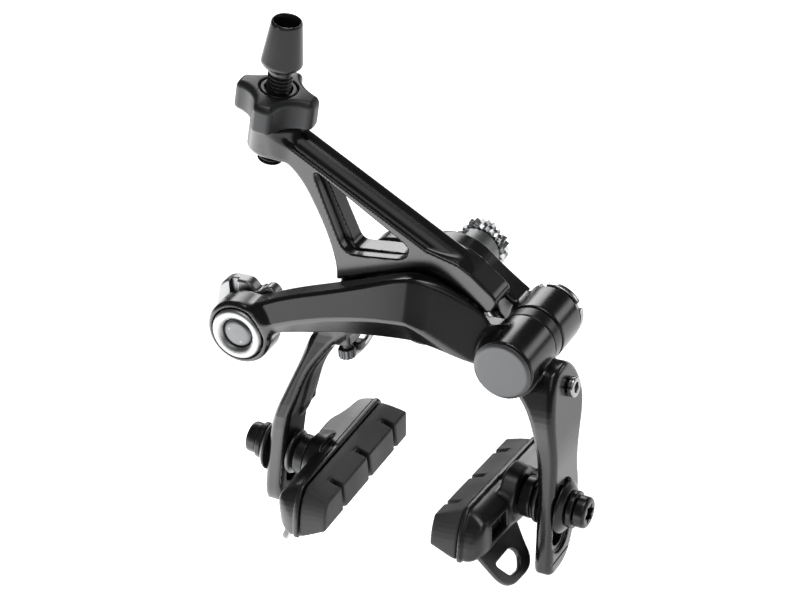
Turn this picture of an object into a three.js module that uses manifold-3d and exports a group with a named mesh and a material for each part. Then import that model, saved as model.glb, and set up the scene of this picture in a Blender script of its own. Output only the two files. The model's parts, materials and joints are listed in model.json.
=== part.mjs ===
// Dual-pivot rim brake caliper for a road bicycle, in millimetres, +Z up.
// X points right and Y points back towards the bicycle frame, so the front of the caliper faces -Y.
// The origin is on the centre bolt's axis, at the rear face of the toothed washer that meets the frame.
// The arms stand in the open position, where the return spring holds them.

import * as THREE from 'three';
import { mergeVertices } from 'three/addons/utils/BufferGeometryUtils.js';
import { ConvexGeometry } from 'three/addons/geometries/ConvexGeometry.js';
import Module from 'manifold-3d';

const wasm = await Module();
wasm.setup();

const DEG = Math.PI / 180;
const GAP = 0.3; // air between two pieces that meet
const FINE = 36; // sides of a large round
const PLAIN = 20; // sides of a small round

// Depth layers, front to back
const FRONT_ARM = { front: -44.6, back: -36.6 };
const UPPER_ARM = { front: -36.2, back: -28.2 };
const UPPER_BOSS_BACK = -22.9;
const BRIDGE = { front: -22.6, back: -14 };
const TOOTHED = { front: -4, back: 0 };

// Pivots
const SIDE = { x: 25, z: -6 };
const CENTRE_BOSS_R = 8.8;
const SIDE_BARREL_R = 7.5;
const SPINDLE_R = 3.7;
const SIDE_BOLT_R = 3.4;
const BUSH_WALL = 0.6;
const RUNNING = 0.08; // radial running clearance

// Cable anchor at the front arm's free end
const ANCHOR = { x: -45.4, z: -10, bossR: 8.3, ringR: 6.6, boltR: 3.4 };

// Adjuster: a leaning axis through the upper arm's eye, measured upwards from the threaded end
const ADJUSTER = { x: -38.8, y: -32.2, z: 31.9, lean: 12.7 * DEG, length: 38.5 };
const THREAD_R = 3.0;
const EYE = { from: 3.8, to: 12.2, r: 5.8 };
const WHEEL = { from: 12.6, to: 20.4, lobeR: 10, valleyR: 6.9 };
const CONE = { from: 25.6, wide: 27.4, wideR: 5.0, topR: 3.7, boreR: 3.05, boreDepth: 7, cableR: 1.1 };

// Pads: the bolt crosses the leg at (x, BOLT_Y, z); the leg leans about Y and the pad tilts about the bolt
const BOLT_Y = -39.2;
const BOLT_R = 2.5;
const LEFT = { side: -1, x: -38.5, z: -43.7, lean: 8.8 * DEG, tilt: 1.5 * DEG, half: 2.4, slot: [-8.8, 4.7] };
const RIGHT = { side: 1, x: 33.5, z: -43.7, lean: 5.5 * DEG, tilt: -4.5 * DEG, half: 2.3, slot: [-11.3, 5.7] };
const PAD_FACE = { left: -15.2, right: 11.8 };
const PAD_FRONT = { left: -25, right: -23.5 }; // front end, measured from the bolt
const PAD_REAR = 21.2;
const PAD_THICK = 7;
const HOLDER_THICK = 7;
const PAD_TOP = 4.5; // above the bolt
const PAD_BOTTOM = -6.6;
const GUIDE_IN = 5.2; // the tyre guide's root, outwards from the parting line
const GUIDE_FLARE = 30; // degrees
const SEAT = 7.4; // the holder's boss face, measured along the bolt from the leg's middle

// Return spring: one and a third turns round the upper arm's boss
const SPRING = { wireR: 0.9, coilR: 10.2, front: -26.9, pitch: 2.2, hookX: 13.5, hookZ: -6.6 };

// Roller in the upper arm's tail, and the finger of the front arm that it rests on
const ROLLER = { x: 13.2, z: 8.4, r: 2.4, pinR: 0.9, pocketR: 2.75, front: -33.6, back: -30.8 };
const FINGER_TOP = 5.6;

// Small adjusting screws
const CENTRING = { y: -33.2, z: -14.2 };
const TENSION = { x: -21.6, y: -34 };

// ---------------------------------------------------------------- solids

function toSolid(geometry) {
  const bare = geometry.index ? geometry.toNonIndexed() : geometry.clone();
  for (const name of Object.keys(bare.attributes)) {
    if (name !== 'position') bare.deleteAttribute(name);
  }
  const merged = mergeVertices(bare, 1e-4);
  return new wasm.Manifold(new wasm.Mesh({
    numProp: 3,
    vertProperties: new Float32Array(merged.attributes.position.array),
    triVerts: new Uint32Array(merged.index.array),
  }));
}

function toGeometry(solid) {
  const mesh = solid.getMesh();
  const geometry = new THREE.BufferGeometry();
  geometry.setAttribute('position', new THREE.BufferAttribute(new Float32Array(mesh.vertProperties), 3));
  geometry.setIndex(new THREE.BufferAttribute(new Uint32Array(mesh.triVerts), 1));
  geometry.computeVertexNormals();
  return geometry;
}

function join(...solids) {
  return solids.reduce((whole, next) => whole.add(next));
}

function cut(solid, ...tools) {
  return tools.reduce((rest, tool) => rest.subtract(tool), solid);
}

// A closed outline from corners [a, b, radius]; each corner is rounded by a short curve.
function outline(corners) {
  const shape = new THREE.Shape();
  const n = corners.length;
  corners.forEach(([a, b, radius = 0], i) => {
    const before = corners[(i + n - 1) % n];
    const after = corners[(i + 1) % n];
    const inward = new THREE.Vector2(before[0] - a, before[1] - b);
    const onward = new THREE.Vector2(after[0] - a, after[1] - b);
    const reachIn = Math.min(radius, inward.length() * 0.48);
    const reachOut = Math.min(radius, onward.length() * 0.48);
    inward.setLength(reachIn);
    onward.setLength(reachOut);
    const start = [a + inward.x, b + inward.y];
    if (i === 0) shape.moveTo(...start);
    else shape.lineTo(...start);
    if (radius > 0) shape.quadraticCurveTo(a, b, a + onward.x, b + onward.y);
  });
  shape.closePath();
  return shape;
}

// Extrudes an outline drawn in X and Z from y = front to y = back.
function plate(corners, front, back, curve = 3) {
  const geometry = new THREE.ExtrudeGeometry(outline(corners), {
    depth: back - front, bevelEnabled: false, curveSegments: curve,
  });
  geometry.rotateX(Math.PI / 2);
  geometry.translate(0, back, 0);
  return toSolid(geometry);
}

// Extrudes an outline drawn in Y and Z from x = low to x = high.
function sidePlate(corners, low, high, curve = 3) {
  const geometry = new THREE.ExtrudeGeometry(outline(corners), {
    depth: high - low, bevelEnabled: false, curveSegments: curve,
  });
  geometry.applyMatrix4(new THREE.Matrix4().set(0, 0, 1, low, 1, 0, 0, 0, 0, 1, 0, 0, 0, 0, 0, 1));
  return toSolid(geometry);
}

// A solid of revolution about Y through (x, z); the profile lists [radius, y].
function turned(profile, x = 0, z = 0, sides = FINE) {
  const points = profile.map(([r, y]) => new THREE.Vector2(r, y));
  if (profile[0][0] > 0) points.push(points[0].clone());
  const geometry = new THREE.LatheGeometry(points, sides);
  geometry.translate(x, 0, z);
  const solid = toSolid(geometry);
  if (solid.volume() > 0) return solid;
  geometry.index.array.reverse();
  return toSolid(geometry);
}

function rod(radius, front, back, x = 0, z = 0, sides = FINE) {
  return turned([[0, front], [radius, front], [radius, back], [0, back]], x, z, sides);
}

function tube(outer, inner, front, back, x = 0, z = 0, sides = FINE) {
  return turned([[inner, front], [outer, front], [outer, back], [inner, back]], x, z, sides);
}

// The same two, along X instead of Y, through (y, z) = (0, 0).
function turnedX(profile, sides = PLAIN) {
  return turned(profile, 0, 0, sides).rotate([0, 0, -90]);
}

function rodX(radius, low, high, sides = PLAIN) {
  return turnedX([[0, low], [radius, low], [radius, high], [0, high]], sides);
}

function block(x, y, z) {
  const geometry = new THREE.BoxGeometry(x[1] - x[0], y[1] - y[0], z[1] - z[0]);
  geometry.translate((x[0] + x[1]) / 2, (y[0] + y[1]) / 2, (z[0] + z[1]) / 2);
  return toSolid(geometry);
}

function hull(points) {
  return toSolid(new ConvexGeometry(points.map((p) => new THREE.Vector3(...p))));
}

// A prism about Y with a hexagonal or lobed outline given by radius(angle).
function prism(radius, sides, front, back, x = 0, z = 0) {
  const corners = [];
  for (let i = 0; i < sides; i += 1) {
    const angle = (2 * Math.PI * i) / sides;
    corners.push([x + radius(angle, i) * Math.cos(angle), z + radius(angle, i) * Math.sin(angle)]);
  }
  return plate(corners, front, back);
}

// ---------------------------------------------------------------- scene graph

const caliper = new THREE.Group();

function piece(name, solid, material, parent = caliper) {
  const mesh = new THREE.Mesh(toGeometry(solid), material);
  mesh.name = name;
  parent.add(mesh);
  return mesh;
}

function finish(color, roughness, metalness) {
  return () => new THREE.MeshStandardMaterial({ color, roughness, metalness });
}

const glossBlack = finish(0x0c0d0e, 0.22, 0.6);
const satinGrey = finish(0x8e9092, 0.45, 0.9);
const gunmetal = finish(0x3a3c3e, 0.5, 0.8);
const brightSteel = finish(0xc9cbcd, 0.25, 1.0);
const darkSteel = finish(0x2a2b2d, 0.4, 0.9);
const bronze = finish(0x8c6a3c, 0.45, 0.9);
const springSteel = finish(0x9a9c9e, 0.35, 1.0);
const blackPlastic = finish(0x161616, 0.6, 0.0);
const holderBlack = finish(0x1a1b1c, 0.35, 0.5);
const rubber = finish(0x3c3c3b, 0.9, 0.0);

// ---------------------------------------------------------------- legs

// Corners of a leg's straight lower stretch, at heights w along the leg from the bolt.
function legPoint(leg, w, outward) {
  const offset = leg.side * outward * leg.half;
  return [
    leg.x + w * Math.sin(leg.lean) + offset * Math.cos(leg.lean),
    leg.z + w * Math.cos(leg.lean) - offset * Math.sin(leg.lean),
  ];
}

function slotCut(leg) {
  const [low, high] = leg.slot;
  const width = BOLT_R + 0.4;
  const across = 8;
  const slot = join(
    rodX(width, -across, across).translate([0, 0, low + width]),
    rodX(width, -across, across).translate([0, 0, high - width]),
    block([-across, across], [-width, width], [low + width, high - width]),
  );
  return slot.rotate([0, leg.lean / DEG, 0]).translate([leg.x, BOLT_Y, leg.z]);
}

// ---------------------------------------------------------------- upper arm

function adjusterFrame(solid) {
  return solid.rotate([90, 0, 0]).rotate([0, ADJUSTER.lean / DEG, 0])
    .translate([ADJUSTER.x, ADJUSTER.y, ADJUSTER.z]);
}

function upperArm() {
  const frame = plate([
    [-35.2, 36.6, 1], [-35.8, 42, 1], [-31, 42, 2], [11.6, 15, 4], [21.4, 6.4, 1.5],
    [17.6, 2.6, 1.5], [10.2, 8.2, 3], [6, 2, 3], [3, -8.4, 3], [-8, -7.2, 5], [-16, -7.6, 6],
    [-24, -13, 5], [-30.5, -21.5, 4], legPoint(LEFT, 10, -1), legPoint(LEFT, 6, -1), legPoint(LEFT, 6, 1),
    legPoint(LEFT, 10, 1).concat(6), [-33.6, -20.6, 8], [-27.6, -8, 8], [-20.6, 4.5, 8], [-22.4, 16.6, 8],
    [-28.6, 31.4, 6],
  ], UPPER_ARM.front, UPPER_ARM.back);
  const window = plate([
    [-25.4, 33.6, 3], [-1.2, 16.6, 2.5], [-2.6, 13.6, 2.5], [-18.6, 12.2, 3],
  ], UPPER_ARM.front - 1, UPPER_ARM.back + 1);
  const eye = adjusterFrame(rod(EYE.r, EYE.from, EYE.to));
  const boss = rod(CENTRE_BOSS_R, UPPER_ARM.front, UPPER_BOSS_BACK);
  // The leg comes forward from the arm's layer to the pad bolt
  const legFront = plate([
    [-14, -3], [-16, -7.6], [-24, -13, 5], [-30.5, -21.5, 4], legPoint(LEFT, 10, -1), legPoint(LEFT, -14, -1),
    legPoint(LEFT, -14, 1), legPoint(LEFT, 8, 1).concat(6), [-33.6, -20.6, 8], [-27.6, -8, 8], [-24, -2],
  ], -46, -27);
  const legSide = sidePlate([
    [UPPER_ARM.front, -1], [UPPER_ARM.front, -9.4, 6], [-44.4, -37, 8], [-45, -54, 3],
    [-42.6, -58.6, 3], [-36, -58.6, 4], [-33, -52, 4], [-32.6, -38, 4], [-29.6, -27, 6], [-28.2, -18, 4],
    [-28.2, -1],
  ], -46, -10);
  const lug = block([-24.5, -19], [-36.2, -28.4], [-14.4, -6]);
  const arm = join(frame, eye, boss, legFront.intersect(legSide), lug);
  const counterbore = rod(6.3, UPPER_ARM.front - 1, -32.2);
  const bore = rod(SPINDLE_R + RUNNING + BUSH_WALL + 0.3, -40, -20);
  const eyeBore = adjusterFrame(rod(THREAD_R + GAP, EYE.from - 3, EYE.to + 3, 0, 0, PLAIN));
  const screwBore = upright(rod(1.4, -16, -6, 0, 0, PLAIN)).translate([TENSION.x, TENSION.y, 0]);
  const pinBore = rod(ROLLER.pinR + GAP, -38, -27, ROLLER.x, ROLLER.z, PLAIN);
  // The tail is a fork: the roller and the front arm's finger stand in its slot
  const fork = join(
    rod(ROLLER.pocketR, ROLLER.front - 0.5, ROLLER.back + 0.5, ROLLER.x, ROLLER.z),
    plate([[ROLLER.x - ROLLER.pocketR, -2], [ROLLER.x - ROLLER.pocketR, ROLLER.z],
      [ROLLER.x + ROLLER.pocketR * 0.66, ROLLER.z + ROLLER.pocketR * 0.75], [21.5, 4.8], [21.5, -2]],
    ROLLER.front - 0.5, ROLLER.back + 0.5),
  );
  return cut(arm, window, counterbore, bore, eyeBore, screwBore, pinBore, fork, slotCut(LEFT));
}

piece('upper_arm', upperArm(), glossBlack());
piece('centre_bush', tube(SPINDLE_R + RUNNING + BUSH_WALL, SPINDLE_R + RUNNING, -31.6, UPPER_BOSS_BACK, 0, 0, 28),
  bronze());

// ---------------------------------------------------------------- front arm

function frontArm() {
  const bar = plate([
    [ANCHOR.x + 5, -3.2, 3], [-33.2, 1.3, 6], [-14.3, 7.6, 6], [0, 12.4, 6], [6.5, 11.4, 5], [15, 6, 4],
    [23.5, 1, 2], [23, -13, 2], [15.5, -7.8, 5], [4, -4.8, 8], [-13, -5.8, 6], [-28, -7.6, 4],
    [ANCHOR.x + 6.5, -9.2, 3],
  ], FRONT_ARM.front, FRONT_ARM.back);
  // Right of the bend the front face turns back, and below the ridge it slants under
  const faceCut = hull([
    [2.2, -46, 30], [2.2, -46, -20], [30, -46, 30], [30, -46, -20], [2.2, -44.6, 30], [2.2, -44.6, -20],
    [18, -39.6, 30], [18, -39.6, -20], [30, -39.6, 30], [30, -39.6, -20],
  ]);
  const underCut = hull([
    [-50, -46, -9.6], [-50, -46, -20], [20, -46, 4], [20, -46, -20],
    [-50, -40.6, -13.4], [-50, -40.6, -20], [20, -40.6, -7], [20, -40.6, -20],
  ]);
  const anchorBoss = turned([[0, -44.2], [7.6, -44.2], [ANCHOR.bossR, -43.4], [ANCHOR.bossR, -37.4],
    [7.4, FRONT_ARM.back], [0, FRONT_ARM.back]], ANCHOR.x, ANCHOR.z);
  const barrel = rod(SIDE_BARREL_R, -44.2, -31, SIDE.x, SIDE.z);
  const legFront = plate([
    [22, -8], [22.5, -12.4, 2], [27, -13.6, 3], [30.4, -18.6, 5], [32.2, -27, 6], legPoint(RIGHT, 6, -1),
    legPoint(RIGHT, -8, -1), legPoint(RIGHT, -18.4, -1).concat(1.5), legPoint(RIGHT, -18.4, 1).concat(1.5),
    legPoint(RIGHT, 6, 1).concat(6), [37.4, -28, 8], [36.8, -19, 6], [36.2, -7, 1], [33.2, -7, 1], [30, -6],
  ], -45, -25);
  const legSide = sidePlate([
    [-44.8, -20, 6], [-40.6, -8, 3], [-33.4, -7, 3], [-28.8, -10, 4], [-25.8, -17, 4], [-26.2, -22, 4],
    [-30.2, -29, 6], [-30.4, -36, 6], [-28.8, -42, 6], [-29.2, -50, 4], [-32.6, -60, 6], [-38.6, -63.2, 6],
    [-44.8, -62.6, 4],
  ], 20, 40);
  const behindBarrel = block([20, 33.2], [-31, -20], [-30, 5]);
  const leg = cut(legFront.intersect(legSide), behindBarrel);
  const lug = plate([[11.4, -3.4, 1], [11.4, -0.4, 1], [20, -0.4], [20, -9], [14, -7, 2]], -38, ROLLER.back - 0.2);
  const finger = plate([[11.4, -2], [11.4, FINGER_TOP, 0.6], [14.4, FINGER_TOP, 0.6], [17, -2]],
    ROLLER.front + 0.2, ROLLER.back - 0.2);
  const arm = join(cut(bar, faceCut, underCut), anchorBoss, barrel, leg, lug, finger);
  const counterbore = rod(5.4, -46, -39.4, SIDE.x, SIDE.z);
  const bore = rod(SIDE_BOLT_R + RUNNING + BUSH_WALL + 0.3, -46, -30, SIDE.x, SIDE.z);
  const ringSeat = rod(ANCHOR.ringR + GAP, -46, -42.2, ANCHOR.x, ANCHOR.z);
  const boltBore = rod(ANCHOR.boltR + GAP, -46, -30, ANCHOR.x, ANCHOR.z, PLAIN);
  const screwBore = rodX(1.9, 29.5, 48).translate([0, CENTRING.y, CENTRING.z]);
  return cut(arm, counterbore, bore, ringSeat, boltBore, screwBore, slotCut(RIGHT));
}

piece('front_arm', frontArm(), glossBlack());
piece('pivot_cap', turned([[0, -45.2], [6.7, -45.2], [7.3, -44.8], [7.3, -44.5], [5.0, -44.5], [5.0, -43],
  [0, -43]], SIDE.x, SIDE.z), satinGrey());
piece('side_bush', tube(SIDE_BOLT_R + RUNNING + BUSH_WALL, SIDE_BOLT_R + RUNNING, -39, -31.2, SIDE.x, SIDE.z,
  28), bronze());

// ---------------------------------------------------------------- cable anchor

piece('anchor_ring', turned([[3.9, -44.6], [4.5, -45.2], [6.1, -45.2], [ANCHOR.ringR, -44.8],
  [ANCHOR.ringR, -42.6], [3.9, -42.6]], ANCHOR.x, ANCHOR.z), brightSteel());
piece('anchor_bolt', join(
  turned([[0, -44.5], [2.6, -44.2], [ANCHOR.boltR, -43.4], [ANCHOR.boltR, -27.4], [0, -27.4]],
    ANCHOR.x, ANCHOR.z, PLAIN),
  prism(() => 5.2, 6, -31, -28, ANCHOR.x, ANCHOR.z),
), brightSteel());
piece('clamp_washer', tube(5.9, ANCHOR.boltR + GAP, -32.3, -31.3, ANCHOR.x, ANCHOR.z), brightSteel());

function clampPlate() {
  const body = plate([[-56, -10, 3], [-54, -2.4, 2.5], [-51.2, -0.2, 2], [-45.4, -0.3, 1.5], [-43.6, -3.2, 1.5],
    [-40.6, -0.4, 1.5], [-38.2, -2, 1.5], [-37.6, -12, 4], [-44, -17.4, 4], [-52, -16.8, 4]],
  FRONT_ARM.back + GAP, -32.6);
  const groove = block([-50.9, -48.9], [-37, -35.2], [-22, 4]);
  return cut(body, groove, rod(ANCHOR.boltR + GAP, -38, -30, ANCHOR.x, ANCHOR.z, PLAIN));
}

piece('clamp_plate', clampPlate(), brightSteel());

// ---------------------------------------------------------------- adjuster

const adjuster = new THREE.Group();
adjuster.position.set(ADJUSTER.x, ADJUSTER.y, ADJUSTER.z);
adjuster.rotation.y = ADJUSTER.lean;
caliper.add(adjuster);

// Solids below are built about Y with y = height along the adjuster, then stood upright.
function upright(solid) {
  return solid.rotate([90, 0, 0]);
}

function adjusterBarrel() {
  const top = ADJUSTER.length;
  return upright(turned([
    [CONE.cableR, 0], [THREAD_R - 0.5, 0], [THREAD_R, 0.6], [THREAD_R, CONE.from], [CONE.wideR - 0.2, CONE.wide - 0.4],
    [CONE.wideR, CONE.wide], [CONE.topR, top - 0.4], [CONE.topR - 0.3, top], [CONE.boreR + 0.1, top],
    [CONE.boreR, top - 0.4], [CONE.boreR, top - CONE.boreDepth], [CONE.cableR, top - CONE.boreDepth],
  ], 0, 0, 28));
}

function adjusterWheel() {
  const lobes = 4;
  const sides = 48;
  const swing = (WHEEL.lobeR - WHEEL.valleyR) / 2;
  const radius = (angle) => WHEEL.valleyR + swing + swing * Math.cos(lobes * (angle - 5 * DEG));
  const body = prism(radius, sides, WHEEL.from, WHEEL.to);
  const recess = rod(4.6, WHEEL.to - 0.9, WHEEL.to + 1);
  return upright(cut(body, recess, rod(THREAD_R + GAP, 0, 40, 0, 0, PLAIN)));
}

piece('adjuster_barrel', adjusterBarrel(), gunmetal(), adjuster);
piece('adjuster_wheel', adjusterWheel(), gunmetal(), adjuster);
piece('adjuster_insert', upright(tube(4.3, THREAD_R + GAP, WHEEL.to - 0.6, WHEEL.to - 0.1)), darkSteel(), adjuster);

// ---------------------------------------------------------------- bridge and pivots

function bridge() {
  const boss = turned([[0, BRIDGE.front], [9.4, BRIDGE.front], [10.8, BRIDGE.front + 1.4],
    [10.8, BRIDGE.back - 0.8], [10, BRIDGE.back], [0, BRIDGE.back]]);
  const bar = plate([
    [4, 9.6, 3], [8.4, 7.6, 3], [15.4, 1.6, 3], [20, -2, 1], [20, -11, 1], [11, -10.6, 5], [2, -9.6, 4],
  ], BRIDGE.front, BRIDGE.back - 0.4);
  const ear = plate([
    [-6, 9, 2], [-17, 8.6, 2.5], [-21, 5.6, 2.5], [-17, 1.6, 2.5], [-7, -4, 2],
  ], -20, BRIDGE.back - 0.4);
  const barrel = turned([[0, -26.7], [SIDE_BARREL_R, -26.7], [SIDE_BARREL_R, -17], [6.7, -16.2], [0, -16.2]],
    SIDE.x, SIDE.z);
  const bores = [
    rod(SIDE_BARREL_R + 0.2, -16.2, -10, SIDE.x, SIDE.z),
    rod(SPINDLE_R + GAP, -30, 0),
    rod(SIDE_BOLT_R + GAP, -30, 0, SIDE.x, SIDE.z),
    rod(SPRING.wireR * 2, -30, -10, SPRING.hookX, SPRING.hookZ, PLAIN),
    rod(1.5, -30, -10, -17.2, 5, PLAIN),
  ];
  return cut(join(boss, bar, ear, barrel), ...bores);
}

function centreSpindle() {
  const shank = turned([[0, -35.8], [5.4, -35.8], [5.9, -35.3], [5.9, -32.6], [SPINDLE_R, -32.6],
    [SPINDLE_R, -0.8], [SPINDLE_R - 0.5, -GAP], [2.6, -GAP], [2.6, -16], [0, -17]]);
  return cut(shank, prism(() => 2.9, 6, -37, -33.6));
}

function toothedRow(front, back, turn) {
  const teeth = 26;
  const corners = [];
  for (let i = 0; i < teeth * 2; i += 1) {
    const angle = (Math.PI * (i + turn)) / teeth;
    const radius = i % 2 ? 5.9 : 6.65;
    corners.push([radius * Math.cos(angle), radius * Math.sin(angle)]);
  }
  return plate(corners, front, back);
}

function toothedWasher() {
  const rows = join(toothedRow(TOOTHED.front, -2.3, 0), toothedRow(-1.7, TOOTHED.back, 1), rod(5.7, -3, -1));
  return cut(rows, rod(SPINDLE_R + GAP, -6, 2));
}

function spindleCollar() {
  const collar = tube(6, SPINDLE_R + GAP, BRIDGE.back + GAP, TOOTHED.front - GAP);
  const flat = 5.1;
  const flats = [45, 225].map((angle) => block([flat, 9], [-9.4, -5.6], [-5, 5]).rotate([0, angle, 0]));
  return cut(collar, ...flats);
}

piece('bridge', bridge(), glossBlack());
piece('centre_spindle', centreSpindle(), darkSteel());
piece('toothed_washer', toothedWasher(), brightSteel());
piece('spindle_collar', spindleCollar(), satinGrey());
piece('side_pivot_bolt', cut(
  turned([[0, -42.4], [4.6, -42.4], [5.0, -42], [5.0, -39.7], [SIDE_BOLT_R, -39.7], [SIDE_BOLT_R, -13.6],
    [0, -13.6]], SIDE.x, SIDE.z),
  prism(() => 2.6, 6, -44, -40.4, SIDE.x, SIDE.z),
), darkSteel());
piece('thrust_ring', tube(7.3, SIDE_BOLT_R + GAP, -30.7, -27, SIDE.x, SIDE.z), satinGrey());

function pivotNut() {
  const nut = turned([[SIDE_BOLT_R + GAP, -15.9], [7.1, -15.9], [7.3, -15.6], [7.3, -14.4], [6.6, -13.8],
    [SIDE_BOLT_R + GAP, -13.8]], SIDE.x, SIDE.z);
  const notches = [0, 1, 2, 3].map((i) => block([5.9, 9], [-16, -13], [-0.9, 0.9])
    .rotate([0, 20 + i * 90, 0]).translate([SIDE.x, 0, SIDE.z]));
  return cut(nut, ...notches);
}

piece('pivot_nut', pivotNut(), brightSteel());

// ---------------------------------------------------------------- return spring

function springTube(points, radius) {
  const route = new THREE.CatmullRomCurve3(points.map((p) => new THREE.Vector3(...p)));
  const section = new THREE.Shape();
  section.absarc(0, 0, radius, 0, 2 * Math.PI);
  return toSolid(new THREE.ExtrudeGeometry(section, {
    steps: 84, extrudePath: route, curveSegments: 4, bevelEnabled: false,
  }));
}

// One leg reaches under the arm's shoe; the coil winds clockwise and its other leg hooks into the bridge.
function springRoute() {
  const { coilR, front, pitch, hookX, hookZ } = SPRING;
  const points = [[-21.7, -31.4, -18.3], [-21.6, -29, -18.5], [-20.2, -27, -16.9], [-15, -27, -6.8]];
  const first = 153;
  const last = 21 - 360;
  const steps = 18;
  for (let i = 0; i <= steps; i += 1) {
    const degrees = first + ((last - first) * i) / steps;
    const angle = degrees * DEG;
    const back = front + (pitch * (first - degrees)) / 360;
    points.push([coilR * Math.cos(angle), back, coilR * Math.sin(angle)]);
  }
  const behind = front + (pitch * (first - last)) / 360;
  points.push([hookX - 1, behind, hookZ + 2.4]);
  points.push([hookX, behind + 1.2, hookZ], [hookX, behind + 4, hookZ], [hookX, behind + 6, hookZ]);
  return points;
}

piece('return_spring', springTube(springRoute(), SPRING.wireR), springSteel());

// ---------------------------------------------------------------- link between the arms

piece('link_pin', rod(ROLLER.pinR, -35.9, -28.5, ROLLER.x, ROLLER.z, PLAIN), brightSteel());
piece('link_roller', tube(ROLLER.r, ROLLER.pinR + GAP, ROLLER.front, ROLLER.back, ROLLER.x, ROLLER.z, 28),
  brightSteel());

// ---------------------------------------------------------------- adjusting screws

piece('centring_screw', join(
  rodX(2.6, 37.3, 39.3).translate([0, CENTRING.y, CENTRING.z]),
  rodX(1.6, 30, 37.5).translate([0, CENTRING.y, CENTRING.z]),
), brightSteel());
piece('spring_shoe', block([-24.2, -19.2], [-31.6, -28.8], [-16.8, -14.7]), blackPlastic());

function springScrew() {
  const head = prism((angle, i) => (i % 2 ? 1.8 : 2.1), 24, 14.8, 17.4);
  return upright(join(head, rod(1.1, 6.4, 15, 0, 0, PLAIN))).scale([1, 1, -1]).translate([TENSION.x, TENSION.y, 0]);
}

piece('spring_screw', springScrew(), brightSteel());

// ---------------------------------------------------------------- pads

function padGroups(leg) {
  const carriage = new THREE.Group();
  carriage.position.set(leg.x, BOLT_Y, leg.z);
  carriage.rotation.y = leg.lean;
  caliper.add(carriage);
  const pad = new THREE.Group();
  pad.rotation.x = leg.tilt;
  carriage.add(pad);
  const level = new THREE.Group();
  level.rotation.y = -leg.lean;
  pad.add(level);
  return { carriage, pad, level };
}

// A solid of revolution along the bolt: [radius, distance outwards from the leg's middle].
function alongBolt(leg, profile, sides = PLAIN) {
  const points = profile.map(([r, u]) => [r, leg.side * u]);
  return turnedX(points, sides);
}

function padBolt(leg) {
  const out = leg.half + 4.1;
  const bolt = alongBolt(leg, [[0, -11], [BOLT_R, -11], [BOLT_R, out], [3.9, out], [3.9, out + 2.2],
    [3.4, out + 2.8], [0, out + 2.8]]);
  const lobes = 6;
  const corners = [];
  for (let i = 0; i < 24; i += 1) {
    const angle = (2 * Math.PI * i) / 24;
    const r = 2.0 + 0.4 * Math.cos(lobes * angle);
    corners.push([r * Math.cos(angle), r * Math.sin(angle)]);
  }
  const ends = [leg.side * (out + 0.8), leg.side * (out + 4)].sort((a, b) => a - b);
  return cut(bolt, sidePlate(corners, ends[0], ends[1]));
}

const HOLE = BOLT_R + GAP;

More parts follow.
